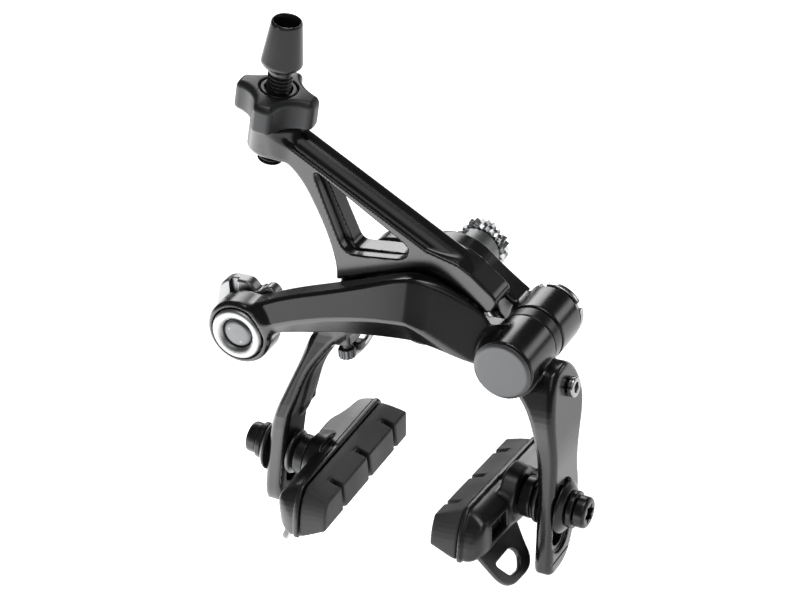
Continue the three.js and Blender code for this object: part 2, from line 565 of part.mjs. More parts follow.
function padPieces(leg, prefix, face) {
  const { carriage, pad, level } = padGroups(leg);
  const h = leg.half;
  piece(`${prefix}_pad_bolt`, padBolt(leg), darkSteel(), carriage);
  piece(`${prefix}_outer_washer`, alongBolt(leg, [[HOLE, h + 0.3], [6.6, h + 0.3], [6.6, h + 0.9], [5, h + 2.1],
    [HOLE, h + 2.1]], 32), darkSteel(), carriage);
  piece(`${prefix}_thin_washer`, alongBolt(leg, [[HOLE, h + 2.4], [4.6, h + 2.4], [4.6, h + 3.8],
    [HOLE, h + 3.8]], 32), darkSteel(), carriage);
  piece(`${prefix}_dished_washer`, alongBolt(leg, [[HOLE, -h - 2.1], [3.4, -h - 2.1], [5.6, -h - 1.2],
    [5.6, -h - 0.3], [HOLE, -h - 0.3]], 32), darkSteel(), carriage);
  piece(`${prefix}_domed_washer`, alongBolt(leg, [[HOLE, -SEAT + 0.3], [5, -SEAT + 0.3], [5.1, -h - 2.2],
    [4.6, -h - 2.0], [3.4, -h - 2.45], [HOLE, -h - 2.45]], 32), darkSteel(), carriage);

  // In the level frame the braking face is at x = faceX and the parting line PAD_THICK behind it
  const faceX = face - leg.x;
  const partX = faceX + leg.side * PAD_THICK;
  const backX = partX + leg.side * HOLDER_THICK;
  const span = (a, b) => [Math.min(a, b), Math.max(a, b)];

  const nose = PAD_FRONT[prefix];
  const profile = (grow) => [
    [nose + 5.4 - grow, PAD_TOP + grow, 2], [nose + 1.6 - grow, 0.4, 4], [nose - grow, PAD_BOTTOM - grow, 1.2],
    [PAD_REAR - 2 + grow, PAD_BOTTOM - grow, 2.5], [PAD_REAR + grow, PAD_TOP + grow, 2.5],
  ];
  const rubberSide = sidePlate(profile(0), ...span(faceX, partX - leg.side * 0.15));
  const rubberEnd = plate([
    [faceX, 2.6], [partX, PAD_TOP], [partX, PAD_BOTTOM], [faceX + leg.side * 0.8, -4.1], [faceX, -3.8],
  ], -40, 40);
  const tongue = sidePlate([[-16, 2.4, 1], [-17, -4.6, 1], [17, -4.6, 1], [17, 2.4, 1]],
    ...span(partX - leg.side * 0.5, partX + leg.side * 1.4));
  const grooves = [-13.6, 0, 13.6].map((y) => block(span(faceX - leg.side, faceX + leg.side * 4.6),
    [y - 0.75, y + 0.75], [-9, 7]).rotate([0, 0, leg.side * 5]));
  piece(`${prefix}_pad_rubber`, join(cut(rubberSide.intersect(rubberEnd), ...grooves), tongue), rubber(), level);

  const holderSide = sidePlate(profile(0.1), ...span(partX + leg.side * 0.15, backX), 3);
  const holderEnd = plate([
    [partX - leg.side, PAD_TOP + 0.3], [partX + leg.side * 2.4, PAD_TOP + 0.3, 1.5],
    [backX, PAD_TOP - 2.6, 1.5], [backX, PAD_BOTTOM + 1.6, 1.5], [partX + leg.side * 3.4, PAD_BOTTOM - 0.2, 1.5],
    [partX - leg.side, PAD_BOTTOM - 0.2],
  ], -40, 40);
  const holderTop = hull([[partX, -27, 9], [partX, 27, 9], [partX, -27, -9], [partX, 27, -9],
    [backX, nose + 3, 9], [backX, PAD_REAR - 2, 9], [backX, nose + 3, -9], [backX, PAD_REAR - 2, -9]]);
  const pocket = sidePlate([[-16.4, 2.8, 1], [-17.4, -5, 1], [17.4, -5, 1], [17.4, 2.8, 1]],
    ...span(partX - leg.side, partX + leg.side * 1.8));
  const hollows = [[-17, -8.5], [8.5, 16]].map((y) => block(span(backX - leg.side * 2.4, backX + leg.side * 2),
    y, [-3.4, 0.8]));
  const boss = alongBolt(leg, [[0, -11.6], [7.4, -11.6], [6.4, -SEAT - 0.3], [0, -SEAT - 0.3]], 32);
  const boltHole = alongBolt(leg, [[0, -11.3], [HOLE, -11.3], [HOLE, 0], [0, 0]]);
  const body = cut(holderSide.intersect(holderEnd).intersect(holderTop), pocket, ...hollows);
  const levelled = body.rotate([0, -leg.lean / DEG, 0]);
  const aboveBottom = block([-20, 20], [-20, 20], [PAD_BOTTOM, 20]).rotate([0, -leg.lean / DEG, 0]);
  const holder = cut(join(levelled, boss.intersect(aboveBottom)), boltHole);
  piece(`${prefix}_pad_holder`, holder, holderBlack(), pad);

  // Tyre guide: a looped wing below the holder, flared outwards
  const wing = sidePlate([[-23, 0], [-18, -7, 3], [-14.7, -9.8, 3], [-5.5, -10, 3], [-2.4, -7.8, 2],
    [-1.9, -3.8, 3], [0, 0]], 0, 1.4);
  const loop = sidePlate([[-17, -2.6, 1.5], [-13.6, -7.6, 1.5], [-8.6, -8, 1.5], [-6, -5.2, 1.5], [-8, -2.4, 1.5]],
    -1, 3);
  const flared = cut(wing, loop).translate([-0.7, 0, 0]).rotate([0, -leg.side * GUIDE_FLARE, 0]);
  const rootX = partX + leg.side * GUIDE_IN;
  piece(`${prefix}_tyre_guide`, flared.translate([rootX, 0, PAD_BOTTOM - 0.8]), holderBlack(), level);
}

padPieces(LEFT, 'left', PAD_FACE.left);
padPieces(RIGHT, 'right', PAD_FACE.right);

export default caliper;
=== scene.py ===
# Looks of the dual-pivot rim brake caliper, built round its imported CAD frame.
# Shapes are worked out in millimetres in the CAD's own frame and stored in metres.
import json
import math

import bpy
import numpy as np
from mathutils import Matrix, Vector


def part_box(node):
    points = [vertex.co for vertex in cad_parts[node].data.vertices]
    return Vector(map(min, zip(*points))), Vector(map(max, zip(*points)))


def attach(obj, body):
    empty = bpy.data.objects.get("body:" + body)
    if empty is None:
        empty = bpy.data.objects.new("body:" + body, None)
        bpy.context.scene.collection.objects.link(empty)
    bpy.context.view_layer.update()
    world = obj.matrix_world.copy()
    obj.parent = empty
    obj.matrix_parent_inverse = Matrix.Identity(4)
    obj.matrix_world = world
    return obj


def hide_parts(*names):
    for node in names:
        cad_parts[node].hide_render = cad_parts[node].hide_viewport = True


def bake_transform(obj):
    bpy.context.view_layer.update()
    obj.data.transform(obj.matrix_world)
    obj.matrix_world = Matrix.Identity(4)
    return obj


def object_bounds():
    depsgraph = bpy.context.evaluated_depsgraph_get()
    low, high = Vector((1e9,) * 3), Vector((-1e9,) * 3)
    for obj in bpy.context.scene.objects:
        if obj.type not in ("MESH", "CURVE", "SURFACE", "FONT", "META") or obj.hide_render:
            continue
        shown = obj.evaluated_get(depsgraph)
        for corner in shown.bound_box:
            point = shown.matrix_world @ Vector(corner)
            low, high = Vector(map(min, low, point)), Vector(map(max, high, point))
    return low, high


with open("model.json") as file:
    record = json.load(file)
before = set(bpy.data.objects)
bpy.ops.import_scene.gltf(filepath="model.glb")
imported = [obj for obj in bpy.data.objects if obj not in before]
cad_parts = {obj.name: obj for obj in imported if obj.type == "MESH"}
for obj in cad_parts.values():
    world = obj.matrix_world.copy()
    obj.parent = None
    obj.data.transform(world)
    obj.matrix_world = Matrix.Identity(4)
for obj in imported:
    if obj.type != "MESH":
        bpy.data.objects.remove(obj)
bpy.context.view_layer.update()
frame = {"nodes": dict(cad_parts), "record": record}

MM = 0.001

# ---- materials


def node_tree(name):
    material = bpy.data.materials.new(name)
    material.use_nodes = True
    tree = material.node_tree
    tree.nodes.clear()
    output = tree.nodes.new("ShaderNodeOutputMaterial")
    shader = tree.nodes.new("ShaderNodeBsdfPrincipled")
    tree.links.new(shader.outputs["BSDF"], output.inputs["Surface"])
    return material, tree, shader


def noise(tree, scale, detail=3.0, stretch=(1, 1, 1)):
    place = tree.nodes.new("ShaderNodeTexCoord")
    mapping = tree.nodes.new("ShaderNodeMapping")
    mapping.inputs["Scale"].default_value = stretch
    texture = tree.nodes.new("ShaderNodeTexNoise")
    texture.inputs["Scale"].default_value = scale
    texture.inputs["Detail"].default_value = detail
    tree.links.new(place.outputs["Object"], mapping.inputs["Vector"])
    tree.links.new(mapping.outputs["Vector"], texture.inputs["Vector"])
    return texture.outputs["Fac"]


def ramp(tree, value, low, high, start=0.3, end=0.7):
    """Maps a 0 to 1 value to a grey or a colour between low and high."""
    node = tree.nodes.new("ShaderNodeValToRGB")
    first, last = node.color_ramp.elements
    first.position, last.position = start, end
    first.color = (*low, 1) if isinstance(low, tuple) else (low, low, low, 1)
    last.color = (*high, 1) if isinstance(high, tuple) else (high, high, high, 1)
    tree.links.new(value, node.inputs["Fac"])
    return node.outputs["Color"]


def bump(tree, shader, height, strength, distance):
    node = tree.nodes.new("ShaderNodeBump")
    node.inputs["Strength"].default_value = strength
    node.inputs["Distance"].default_value = distance
    tree.links.new(height, node.inputs["Height"])
    tree.links.new(node.outputs["Normal"], shader.inputs["Normal"])


def edges(tree, start=0.52, end=0.60):
    """1 along worn convex edges, 0 elsewhere."""
    shape = tree.nodes.new("ShaderNodeNewGeometry")
    return ramp(tree, shape.outputs["Pointiness"], 0.0, 1.0, start, end)


def blend_colours(tree, amount, low, high):
    node = tree.nodes.new("ShaderNodeMix")
    node.data_type = "RGBA"
    tree.links.new(amount, node.inputs["Factor"])
    tree.links.new(low, node.inputs["A"])
    tree.links.new(high, node.inputs["B"])
    return node.outputs["Result"]


CLOUD_SCALE = 60  # how fine the broad unevenness of a surface is
BUMP_HEIGHT = 0.00004
WORN_LIGHTER = 1.8  # a rubbed edge's colour, as a multiple of the fresh one's
WORN_DULLER = (0.05, 0.08)  # added to the two ends of the roughness there


def finish(name, low, high, rough, metallic, grain=900, bumpy=0.1, stretch=(1, 1, 1), specular=0.5):
    """A surface with an uneven colour and roughness, a fine bump and edges rubbed lighter and duller."""
    material, tree, shader = node_tree(name)
    shader.inputs["Metallic"].default_value = metallic
    shader.inputs["Specular IOR Level"].default_value = specular
    cloud = noise(tree, CLOUD_SCALE, 4.0)
    fine = noise(tree, grain, 2.0, stretch)
    rubbed = edges(tree)
    fresh = ramp(tree, cloud, low, high)
    bare = ramp(tree, fine, tuple(v * WORN_LIGHTER for v in low), tuple(v * WORN_LIGHTER for v in high))
    tree.links.new(blend_colours(tree, rubbed, fresh, bare), shader.inputs["Base Color"])
    smooth = ramp(tree, cloud, rough[0], rough[1], 0.35, 0.65)
    dull = ramp(tree, fine, rough[0] + WORN_DULLER[0], rough[1] + WORN_DULLER[1], 0.35, 0.65)
    tree.links.new(blend_colours(tree, rubbed, smooth, dull), shader.inputs["Roughness"])
    bump(tree, shader, fine, bumpy, BUMP_HEIGHT)
    return material


# Of each finish: its colour's two ends, its roughness's two ends, how metallic it is, and what else differs
FINISHES = {
    "gloss_black": ((0.0022, 0.0022, 0.0024), (0.0036, 0.0036, 0.0039), (0.19, 0.26), 0.0,
                    {"grain": 1500, "bumpy": 0.04}),
    "matt_black": ((0.0035, 0.0035, 0.0037), (0.0055, 0.0055, 0.0058), (0.45, 0.55), 0.0,
                   {"bumpy": 0.15, "specular": 0.08}),
    "satin_grey": ((0.13, 0.133, 0.136), (0.17, 0.173, 0.176), (0.36, 0.44), 0.9, {"bumpy": 0.12}),
    "cap_grey": ((0.070, 0.071, 0.073), (0.088, 0.089, 0.091), (0.40, 0.46), 0.9, {}),
    "satin_dark": ((0.05, 0.051, 0.053), (0.07, 0.071, 0.073), (0.30, 0.38), 0.9, {}),
    "gunmetal": ((0.016, 0.0165, 0.0175), (0.024, 0.0245, 0.0255), (0.34, 0.44), 0.55, {"bumpy": 0.15}),
    "bright_steel": ((0.26, 0.263, 0.267), (0.34, 0.343, 0.347), (0.18, 0.26), 1.0, {}),
    "ring_steel": ((0.22, 0.222, 0.225), (0.28, 0.282, 0.285), (0.36, 0.44), 1.0, {}),
    "clamp_steel": ((0.15, 0.152, 0.155), (0.20, 0.202, 0.205), (0.30, 0.40), 1.0, {}),
    "barrel_black": ((0.012, 0.0122, 0.0126), (0.018, 0.0183, 0.0188), (0.16, 0.22), 0.4, {"bumpy": 0.08}),
    "bolt_dome": ((0.07, 0.071, 0.073), (0.10, 0.101, 0.103), (0.28, 0.36), 1.0, {"bumpy": 0.2}),
    "dark_steel": ((0.012, 0.0125, 0.013), (0.020, 0.0205, 0.021), (0.26, 0.34), 0.6, {}),
    "spring_steel": ((0.25, 0.253, 0.258), (0.33, 0.333, 0.338), (0.26, 0.34), 1.0,
                     {"grain": 1200, "bumpy": 0.2, "stretch": (1, 1, 8)}),
    "bronze": ((0.22, 0.15, 0.07), (0.28, 0.19, 0.10), (0.36, 0.46), 1.0, {}),
    "black_plastic": ((0.006, 0.006, 0.006), (0.010, 0.010, 0.010), (0.45, 0.55), 0.0, {"bumpy": 0.2}),
    "holder_black": ((0.004, 0.004, 0.0043), (0.007, 0.007, 0.0074), (0.28, 0.38), 0.0, {}),
    "rubber": ((0.013, 0.013, 0.013), (0.020, 0.020, 0.0196), (0.50, 0.66), 0.0,
               {"grain": 700, "bumpy": 0.4}),
}
MATERIALS = {name: finish(name, *values[:4], **values[4]) for name, values in FINISHES.items()}
CAD_SLOT = {part["node"]: part["material_slot"] for part in frame["record"]["subparts"]}


def dress(node):
    """Gives a CAD node the material of its slot."""
    mesh = frame["nodes"][node].data
    mesh.materials.clear()
    mesh.materials.append(MATERIALS[CAD_SLOT[node]])


for node_name in frame["nodes"]:
    dress(node_name)

# ---- distance fields, in millimetres


def meet(a, b, radius):
    """Where two solids overlap, with the edge between them rounded."""
    corner = np.hypot(np.maximum(radius + a, 0), np.maximum(radius + b, 0))
    return np.minimum(-radius, np.maximum(a, b)) + corner


def merge(a, b, radius):
    """Two solids joined, with a fillet between them."""
    corner = np.hypot(np.maximum(radius - a, 0), np.maximum(radius - b, 0))
    return np.maximum(radius, np.minimum(a, b)) - corner


def carve(a, b, radius):
    """Solid a less solid b, with a rounded rim."""
    return meet(a, -b, radius)


def between(value, low, high):
    """Distance to the slab from low to high."""
    return np.maximum(low - value, value - high)


def rounded_corners(corners, steps=5):
    """A closed line through corners [a, b, radius], each rounded by a short curve, as in the CAD outlines."""
    line = []
    count = len(corners)
    for index, corner in enumerate(corners):
        here = np.array(corner[:2], float)
        radius = corner[2] if len(corner) > 2 else 0
        if radius == 0:
            line.append(here)
            continue
        before = np.array(corners[index - 1][:2], float) - here
        after = np.array(corners[(index + 1) % count][:2], float) - here
        into = before * min(radius / np.linalg.norm(before), 0.48)
        out = after * min(radius / np.linalg.norm(after), 0.48)
        for t in np.linspace(0, 1, steps + 1):
            line.append(here + into * (1 - t) ** 2 + out * t ** 2)
    return np.array(line)


def outline(corners, steps=5):
    """Signed distance to a closed outline, as a function of its two coordinates."""
    line = rounded_corners(corners, steps)
    edges = np.roll(line, -1, 0) - line

    def distance(u, v):
        u, v = np.broadcast_arrays(u, v)
        nearest = np.full(u.shape, 1e9)
        inside = np.zeros(u.shape, bool)
        for (a, b), (da, db) in zip(line, edges):
            length = da * da + db * db
            if length < 1e-12:
                continue
            t = np.clip(((u - a) * da + (v - b) * db) / length, 0, 1)
            nearest = np.minimum(nearest, (u - a - t * da) ** 2 + (v - b - t * db) ** 2)
            if db != 0:
                inside ^= ((b > v) != (b + db > v)) & (u < a + da * (v - b) / db)
        return np.where(inside, -1, 1) * np.sqrt(nearest)

    return distance


def half_plane(start, end):
    """Distance above the line from start to end, for lines that run to the right."""
    run, rise = end[0] - start[0], end[1] - start[1]
    length = math.hypot(run, rise)
    return lambda u, v: ((v - start[1]) * run - (u - start[0]) * rise) / length


def plane(x, y, z, point, normal):
    n = np.array(normal, float) / np.linalg.norm(normal)
    return (x - point[0]) * n[0] + (y - point[1]) * n[1] + (z - point[2]) * n[2]


def cylinder(x, y, z, radius, low, high, base, axis, edge):
    """A cylinder along an axis from base, between two heights, with rounded rims."""
    a = np.array(axis, float) / np.linalg.norm(axis)
    px, py, pz = x - base[0], y - base[1], z - base[2]
    height = px * a[0] + py * a[1] + pz * a[2]
    away = np.sqrt(np.maximum(px * px + py * py + pz * pz - height * height, 0))
    return meet(away - radius, between(height, low, high), edge)


# ---- meshes


def surface_of(field, low, high, step):
    """The zero surface of a field as points, outward normals and quads, by surface nets."""
    axes = [np.arange(a - step, b + 2 * step, step) for a, b in zip(low, high)]
    x, y, z = axes[0][:, None, None], axes[1][None, :, None], axes[2][None, None, :]
    values = np.broadcast_to(field(x, y, z), tuple(len(a) for a in axes))
    shape = np.array(values.shape)
    cells = shape - 1
    sums = np.zeros((4, int(np.prod(cells))))
    quads = []
    for axis in range(3):
        first = [slice(None)] * 3
        second = [slice(None)] * 3
        first[axis], second[axis] = slice(None, -1), slice(1, None)
        a, b = values[tuple(first)], values[tuple(second)]
        crossing = np.argwhere((a < 0) != (b < 0))
        at = tuple(crossing.T)
        place = crossing.astype(float)
        place[:, axis] += a[at] / (a[at] - b[at])
        others = [k for k in range(3) if k != axis]
        corners = []
        for du, dv in ((0, 0), (1, 0), (1, 1), (0, 1)):
            cell = crossing.copy()
            cell[:, others[0]] -= du
            cell[:, others[1]] -= dv
            number = (cell[:, 0] * cells[1] + cell[:, 1]) * cells[2] + cell[:, 2]
            corners.append(number)
            for k in range(3):
                sums[k] += np.bincount(number, place[:, k], sums.shape[1])
            sums[3] += np.bincount(number, minlength=sums.shape[1])
        quad = np.stack(corners, 1)
        flip = (a[at] < 0) == (axis == 1)
        quad[flip] = quad[flip][:, ::-1]
        quads.append(quad)
    used = np.flatnonzero(sums[3])
    points = (sums[:3, used] / sums[3, used]).T * step + [a[0] for a in axes]
    number = np.zeros(sums.shape[1], int)
    number[used] = np.arange(len(used))
    for _ in range(2):
        value, slope = slope_at(field, points)
        points = points - slope * np.clip(value / np.maximum((slope ** 2).sum(1), 1e-6), -step, step)[:, None]
    _, slope = slope_at(field, points, 0.12)
    normals = slope / np.maximum(np.linalg.norm(slope, axis=1), 1e-9)[:, None]
    return points, normals, number[np.concatenate(quads)]


def slope_at(field, points, reach=0.03):
    x, y, z = points.T
    value = field(x, y, z)
    slope = np.stack([
        field(x + reach, y, z) - field(x - reach, y, z),
        field(x, y + reach, z) - field(x, y - reach, z),
        field(x, y, z + reach) - field(x, y, z - reach),
    ], 1) / (2 * reach)
    return value, slope


def add_piece(name, points, normals, faces, material, body, nodes=()):
    """A smooth mesh from points in millimetres; it rides on a body and stands for CAD nodes."""
    mesh = bpy.data.meshes.new(name)
    points = np.asarray(points, float)
    mesh.from_pydata((points * MM).tolist(), [], [list(map(int, face)) for face in faces])
    mesh.validate()
    mesh.shade_smooth()
    if normals is not None:
        mesh.normals_split_custom_set_from_vertices(np.asarray(normals, float).tolist())
    mesh.materials.append(MATERIALS[material])
    piece = bpy.data.objects.new(name, mesh)
    bpy.context.collection.objects.link(piece)
    if body:
        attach(piece, body)
    if nodes:
        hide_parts(*nodes)
    return piece


def add_field(name, field, low, high, step, material, body, nodes=(), slot=None):
    points, normals, quads = surface_of(field, low, high, step)
    return add_piece(name, points, normals, quads, material, body, nodes)


def matt_inner_face(piece, side, below):
    """The side of a leg that faces the wheel is left matt: it gets the second material."""
    towards_wheel = 0.72
    piece.data.materials.append(MATERIALS["matt_black"])
    for face in piece.data.polygons:
        if face.center.z < below * MM and -side * face.normal.x > towards_wheel:
            face.material_index = 1


def box_of(*names, grow=1.5):
    """The box round some CAD nodes, in millimetres, grown a little."""
    corners = np.array([[list(corner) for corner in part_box(name)] for name in names]) / MM
    return corners[:, 0].min(0) - grow, corners[:, 1].max(0) + grow


# ---- shared sizes, in millimetres, as in the CAD

DEG = math.pi / 180
ORIGIN = (0, 0, 0)
RIGHTWARDS = (1, 0, 0)
BACK = (0, 1, 0)
UP = (0, 0, 1)
FRONT_ARM = (-44.6, -36.6)  # front and back of the front arm
UPPER_ARM = (-36.2, -28.2)
SIDE = (25.0, -6.0)  # the side pivot, right of and above the centre bolt
SIDE_ORIGIN = (SIDE[0], 0, SIDE[1])
ANCHOR = (-45.4, -10.0)
ANCHOR_ORIGIN = (ANCHOR[0], 0, ANCHOR[1])
ADJUSTER = np.array([-38.8, -32.2, 31.9])  # the adjuster stem's lower end
LEAN = 12.7 * DEG
ADJUSTER_AXIS = np.array([math.sin(LEAN), 0, math.cos(LEAN)])
LINK_PIN = (13.2, 0, 8.4)
CENTRING_SCREW = (0, -33.2, -14.2)
SPRING_SCREW = (-21.6, -34, 0)
BOLT_Y = -39.2  # the pad bolts
SLOT_HALF_WIDTH = 2.9
# A leg: its pad bolt's place, how it leans, half its thickness, its slot's ends and its own end along it,
# and its pad's tilt, braking face and nose
LEFT = {"side": -1, "x": -38.5, "z": -43.7, "lean": 8.8 * DEG, "half": 2.4, "slot": (-8.8, 4.7), "end": 9.8,
        "tilt": 1.5 * DEG, "face": -15.2, "nose": -25.0, "name": "left"}
RIGHT = {"side": 1, "x": 33.5, "z": -43.7, "lean": 5.5 * DEG, "half": 2.3, "slot": (-11.3, 5.7), "end": 14.6,
         "tilt": -4.5 * DEG, "face": 11.8, "nose": -23.5, "name": "right"}
SHARP, CRISP = 0.1, 0.2  # the smallest edge radii
BODY_STEP, PLATE_STEP, FINE, FINEST = 0.42, 0.36, 0.26, 0.2  # how finely the pieces are meshed


def leg_point(leg, along, outward):
    """A corner of a leg from the front: so far up from the pad bolt, on its outer (1) or inner side."""
    offset = leg["side"] * outward * leg["half"]
    return [leg["x"] + along * math.sin(leg["lean"]) + offset * math.cos(leg["lean"]),
            leg["z"] + along * math.cos(leg["lean"]) - offset * math.sin(leg["lean"])]


def slot_field(leg, x, y, z):
    """The slot that the pad bolt passes through, open along the bolt."""
    along = (x - leg["x"]) * math.sin(leg["lean"]) + (z - leg["z"]) * math.cos(leg["lean"])
    low, high = leg["slot"]
    beyond = np.maximum(np.maximum(low + SLOT_HALF_WIDTH - along, along - high + SLOT_HALF_WIDTH), 0)
    return np.hypot(y - BOLT_Y, beyond) - SLOT_HALF_WIDTH


SEAM_DEPTH, SEAM_HALF_WIDTH = 0.25, 0.18


def seam(leg, x, y, z):
    """A fine groove round the leg above its lower end."""
    along = (x - leg["x"]) * math.sin(leg["lean"]) + (z - leg["z"]) * math.cos(leg["lean"])
    across = np.abs((x - leg["x"]) * math.cos(leg["lean"]) - (z - leg["z"]) * math.sin(leg["lean"]))
    near_skin = leg["half"] - SEAM_DEPTH - across
    return np.maximum(np.abs(along + leg["end"]) - SEAM_HALF_WIDTH, near_skin) + 0 * y


# ---- upper arm

UPPER_TOP = half_plane((-31, 42), (11.6, 15))  # the beam's top edge
UPPER_OUTLINE = outline([
    [-35.2, 36.6, 1], [-35.8, 42, 1], [-31, 42, 2], [11.6, 15.2, 4], [21.2, 6.6, 2.6], [17.6, 2.6, 2.2],
    [10.2, 8.2, 3], [6, 2, 3], [3, -8.4, 3], [-8, -7.2, 5], [-16, -7.6, 6], [-24, -13, 5], [-30.5, -21.5, 4],
    leg_point(LEFT, 11.5, -1), leg_point(LEFT, 9.8, -1), leg_point(LEFT, 9.8, 1),
    leg_point(LEFT, 11.5, 1) + [4],
    [-33.6, -20.6, 8], [-27.6, -8, 8], [-20.6, 4.5, 8], [-22.4, 16.6, 8], [-28.6, 31.4, 6],
])
WINDOW = outline([[-25.6, 34.2, 3.4], [-1.0, 16.9, 3.2], [-2.8, 13.7, 3.2], [-18.8, 12.3, 4]], 8)
WINDOW_BACK = outline([[-24.2, 32.2, 3], [-1.2, 16.6, 2.5], [-2.8, 14.0, 2.5], [-17.4, 12.8, 2]])
LEFT_LEG_FRONT = outline([
    [-14, -3], [-16, -7.6], [-24, -13, 5], [-30.5, -21.5, 4], leg_point(LEFT, 11.5, -1),
    leg_point(LEFT, -14, -1) + [1], leg_point(LEFT, -14, 1) + [1], leg_point(LEFT, 10.5, 1) + [4],
    [-33.6, -20.6, 8], [-27.6, -8, 8], [-24, -2],
])
LEFT_LEG_SIDE = outline([
    [-36.2, -1], [-36.2, -9.4, 6], [-44.4, -37, 8], [-45, -54, 3], [-42.6, -58.6, 3], [-36, -58.6, 4],
    [-33, -52, 4], [-32.6, -38, 4], [-29.6, -27, 6], [-28.2, -18, 4], [-28.2, -1],
])
# What lies below the window's lower member, and the slot that the link's roller runs in
BELOW_MEMBER = outline([
    [-30, 3], [-20.7, 5.2], [-12.8, 7.6, 4], [-3.2, 10.2, 5], [1.4, 10.2, 3], [8.2, 7.6], [12, 4], [12, -20],
    [-30, -20],
])
FORK = outline([[10.45, -2], [10.45, 8.4], [15.0, 10.45], [21.5, 4.8], [21.5, -2]])
FORK_DEPTH = (-34.1, -30.3)
ROLLER_POCKET_R = 2.75
BEAM_BEHIND, BEAM_FRONT_R, BEAM_BACK_R = 1.2, 3.6, 2.6  # how far the beam stands behind its lip; its edges
LIP_BELOW_TOP, LIP_RISE = 2.7, 2.3  # the lip's upper edge, and how far it climbs towards the tail
MEMBER_FACE_Y, COVE_Y = -33.4, -32.6
BODY_FILLET = 1.6


def upper_arm_field(x, y, z):
    front, back = UPPER_ARM
    plate = meet(UPPER_OUTLINE(x, z), between(y, front, back), 0.5)
    # The beam is a rounded bar that stands behind a narrow lip round the window
    top = UPPER_TOP(x, z)
    bar = meet(meet(top, front + BEAM_BEHIND - y, BEAM_FRONT_R), y - back, BEAM_BACK_R)
    lip = meet(top + LIP_BELOW_TOP - LIP_RISE * np.clip((x - 3) / 8, 0, 1), front - y, 0.5)
    plate = np.maximum(plate, merge(bar, lip, 0.5))
    # Below the lower member the face steps back in a fillet
    step_back = meet(BELOW_MEMBER(x, z), (y - MEMBER_FACE_Y) * np.ones_like(x), 2.6)
    plate = carve(plate, np.maximum(step_back, x - 9.5), 0.5)
    # The window: a cove at the front, a ridge, then a straight wall
    cove = meet(WINDOW(x, z), y - COVE_Y, BODY_FILLET)
    plate = carve(plate, np.minimum(cove, WINDOW_BACK(x, z) + 0 * y), 0.35)
    # The adjuster's eye, the pivot's boss, the leg and the spring screw's lug
    arm = merge(plate, cylinder(x, y, z, 5.8, 3.8, 12.2, ADJUSTER, ADJUSTER_AXIS, 1.1), 2.4)
    arm = merge(arm, cylinder(x, y, z, 8.8, -13.3, 0, (0, -22.9, 0), BACK, 0.5), 1.4)
    arm = merge(arm, meet(LEFT_LEG_FRONT(x, z), LEFT_LEG_SIDE(y, z), BODY_FILLET), BODY_FILLET)
    lug = meet(meet(between(x, -23.4, -19.6), between(y, -36.1, -29.5), 0.9), between(z, -13.6, -6), 0.6)
    arm = merge(arm, lug, 1.2)
    # The stem's bore, the pivot's recess and bore, the fork, the spring screw's hole and the pad's slot
    arm = carve(arm, cylinder(x, y, z, 3.3, 0, 20, ADJUSTER, ADJUSTER_AXIS, SHARP), 0.3)
    arm = carve(arm, cylinder(x, y, z, 6.3, -2, 4, (0, front, 0), BACK, SHARP), 0.3)
    arm = carve(arm, cylinder(x, y, z, 4.68, 0, 20, (0, -40, 0), BACK, SHARP), CRISP)
    fork = meet(FORK(x, z), between(y, *FORK_DEPTH), SHARP)
    fork = np.minimum(fork, cylinder(x, y, z, ROLLER_POCKET_R, *FORK_DEPTH, LINK_PIN, BACK, SHARP))
    arm = carve(arm, fork, CRISP)
    arm = carve(arm, cylinder(x, y, z, 1.4, -16, -6, SPRING_SCREW, UP, SHARP), CRISP)
    arm = carve(arm, seam(LEFT, x, y, z), SHARP)
    return carve(arm, slot_field(LEFT, x, y, z), 0.4)


# ---- front arm

FRONT_OUTLINE = outline([
    [ANCHOR[0] + 4, -2.4, 3], [-33.2, 1.4, 8], [-14.3, 7.3, 6], [0, 12.2, 6], [6.5, 11.2, 5], [15, 6, 4],
    [23.5, 1, 2], [23, -13, 2], [15.5, -7.8, 5], [4, -4.8, 8], [-13, -5.8, 6], [-28, -7.6, 4],
    [ANCHOR[0] + 6.5, -9.2, 3],
], 8)
RIGHT_LEG_FRONT = outline([
    [22, -8], [22.5, -12.4, 2], [27, -13.6, 3], [30.4, -18.6, 5], [32.2, -27, 6], leg_point(RIGHT, 6, -1),
    leg_point(RIGHT, -8, -1), leg_point(RIGHT, -18.4, -1) + [1.5], leg_point(RIGHT, -18.4, 1) + [1.5],
    leg_point(RIGHT, 6, 1) + [6], [37.4, -28, 8], [36.8, -19, 6], [36.2, -7, 1], [33.2, -7, 1], [30, -6],
])
RIGHT_LEG_SIDE = outline([
    [-44.8, -20, 6], [-40.6, -8.4, 5], [-34.4, -7, 5], [-28.8, -10, 6], [-25.8, -17, 5], [-26.2, -22, 4],
    [-30.2, -29, 6], [-30.4, -36, 6], [-28.8, -42, 6], [-29.2, -50, 4], [-32.6, -60, 6], [-38.6, -63.2, 6],
    [-44.8, -62.6, 4],
], 8)


def ridge_height(x):
    """The height of the crease along the front arm's face."""
    left = 1.3 + 0.037 * (x + 1.6) - 0.0053 * (x + 1.6) ** 2
    right = 1.2 - 0.30 * (x - 1.0)
    return np.where(x < 0.5, left, np.minimum(left, right))


FACE_AHEAD = 0.1  # of the bar's front, at the crease
UPPER_SLOPE, LOWER_SLOPE = 17 * DEG, 30 * DEG  # how the face leans back above and below the crease


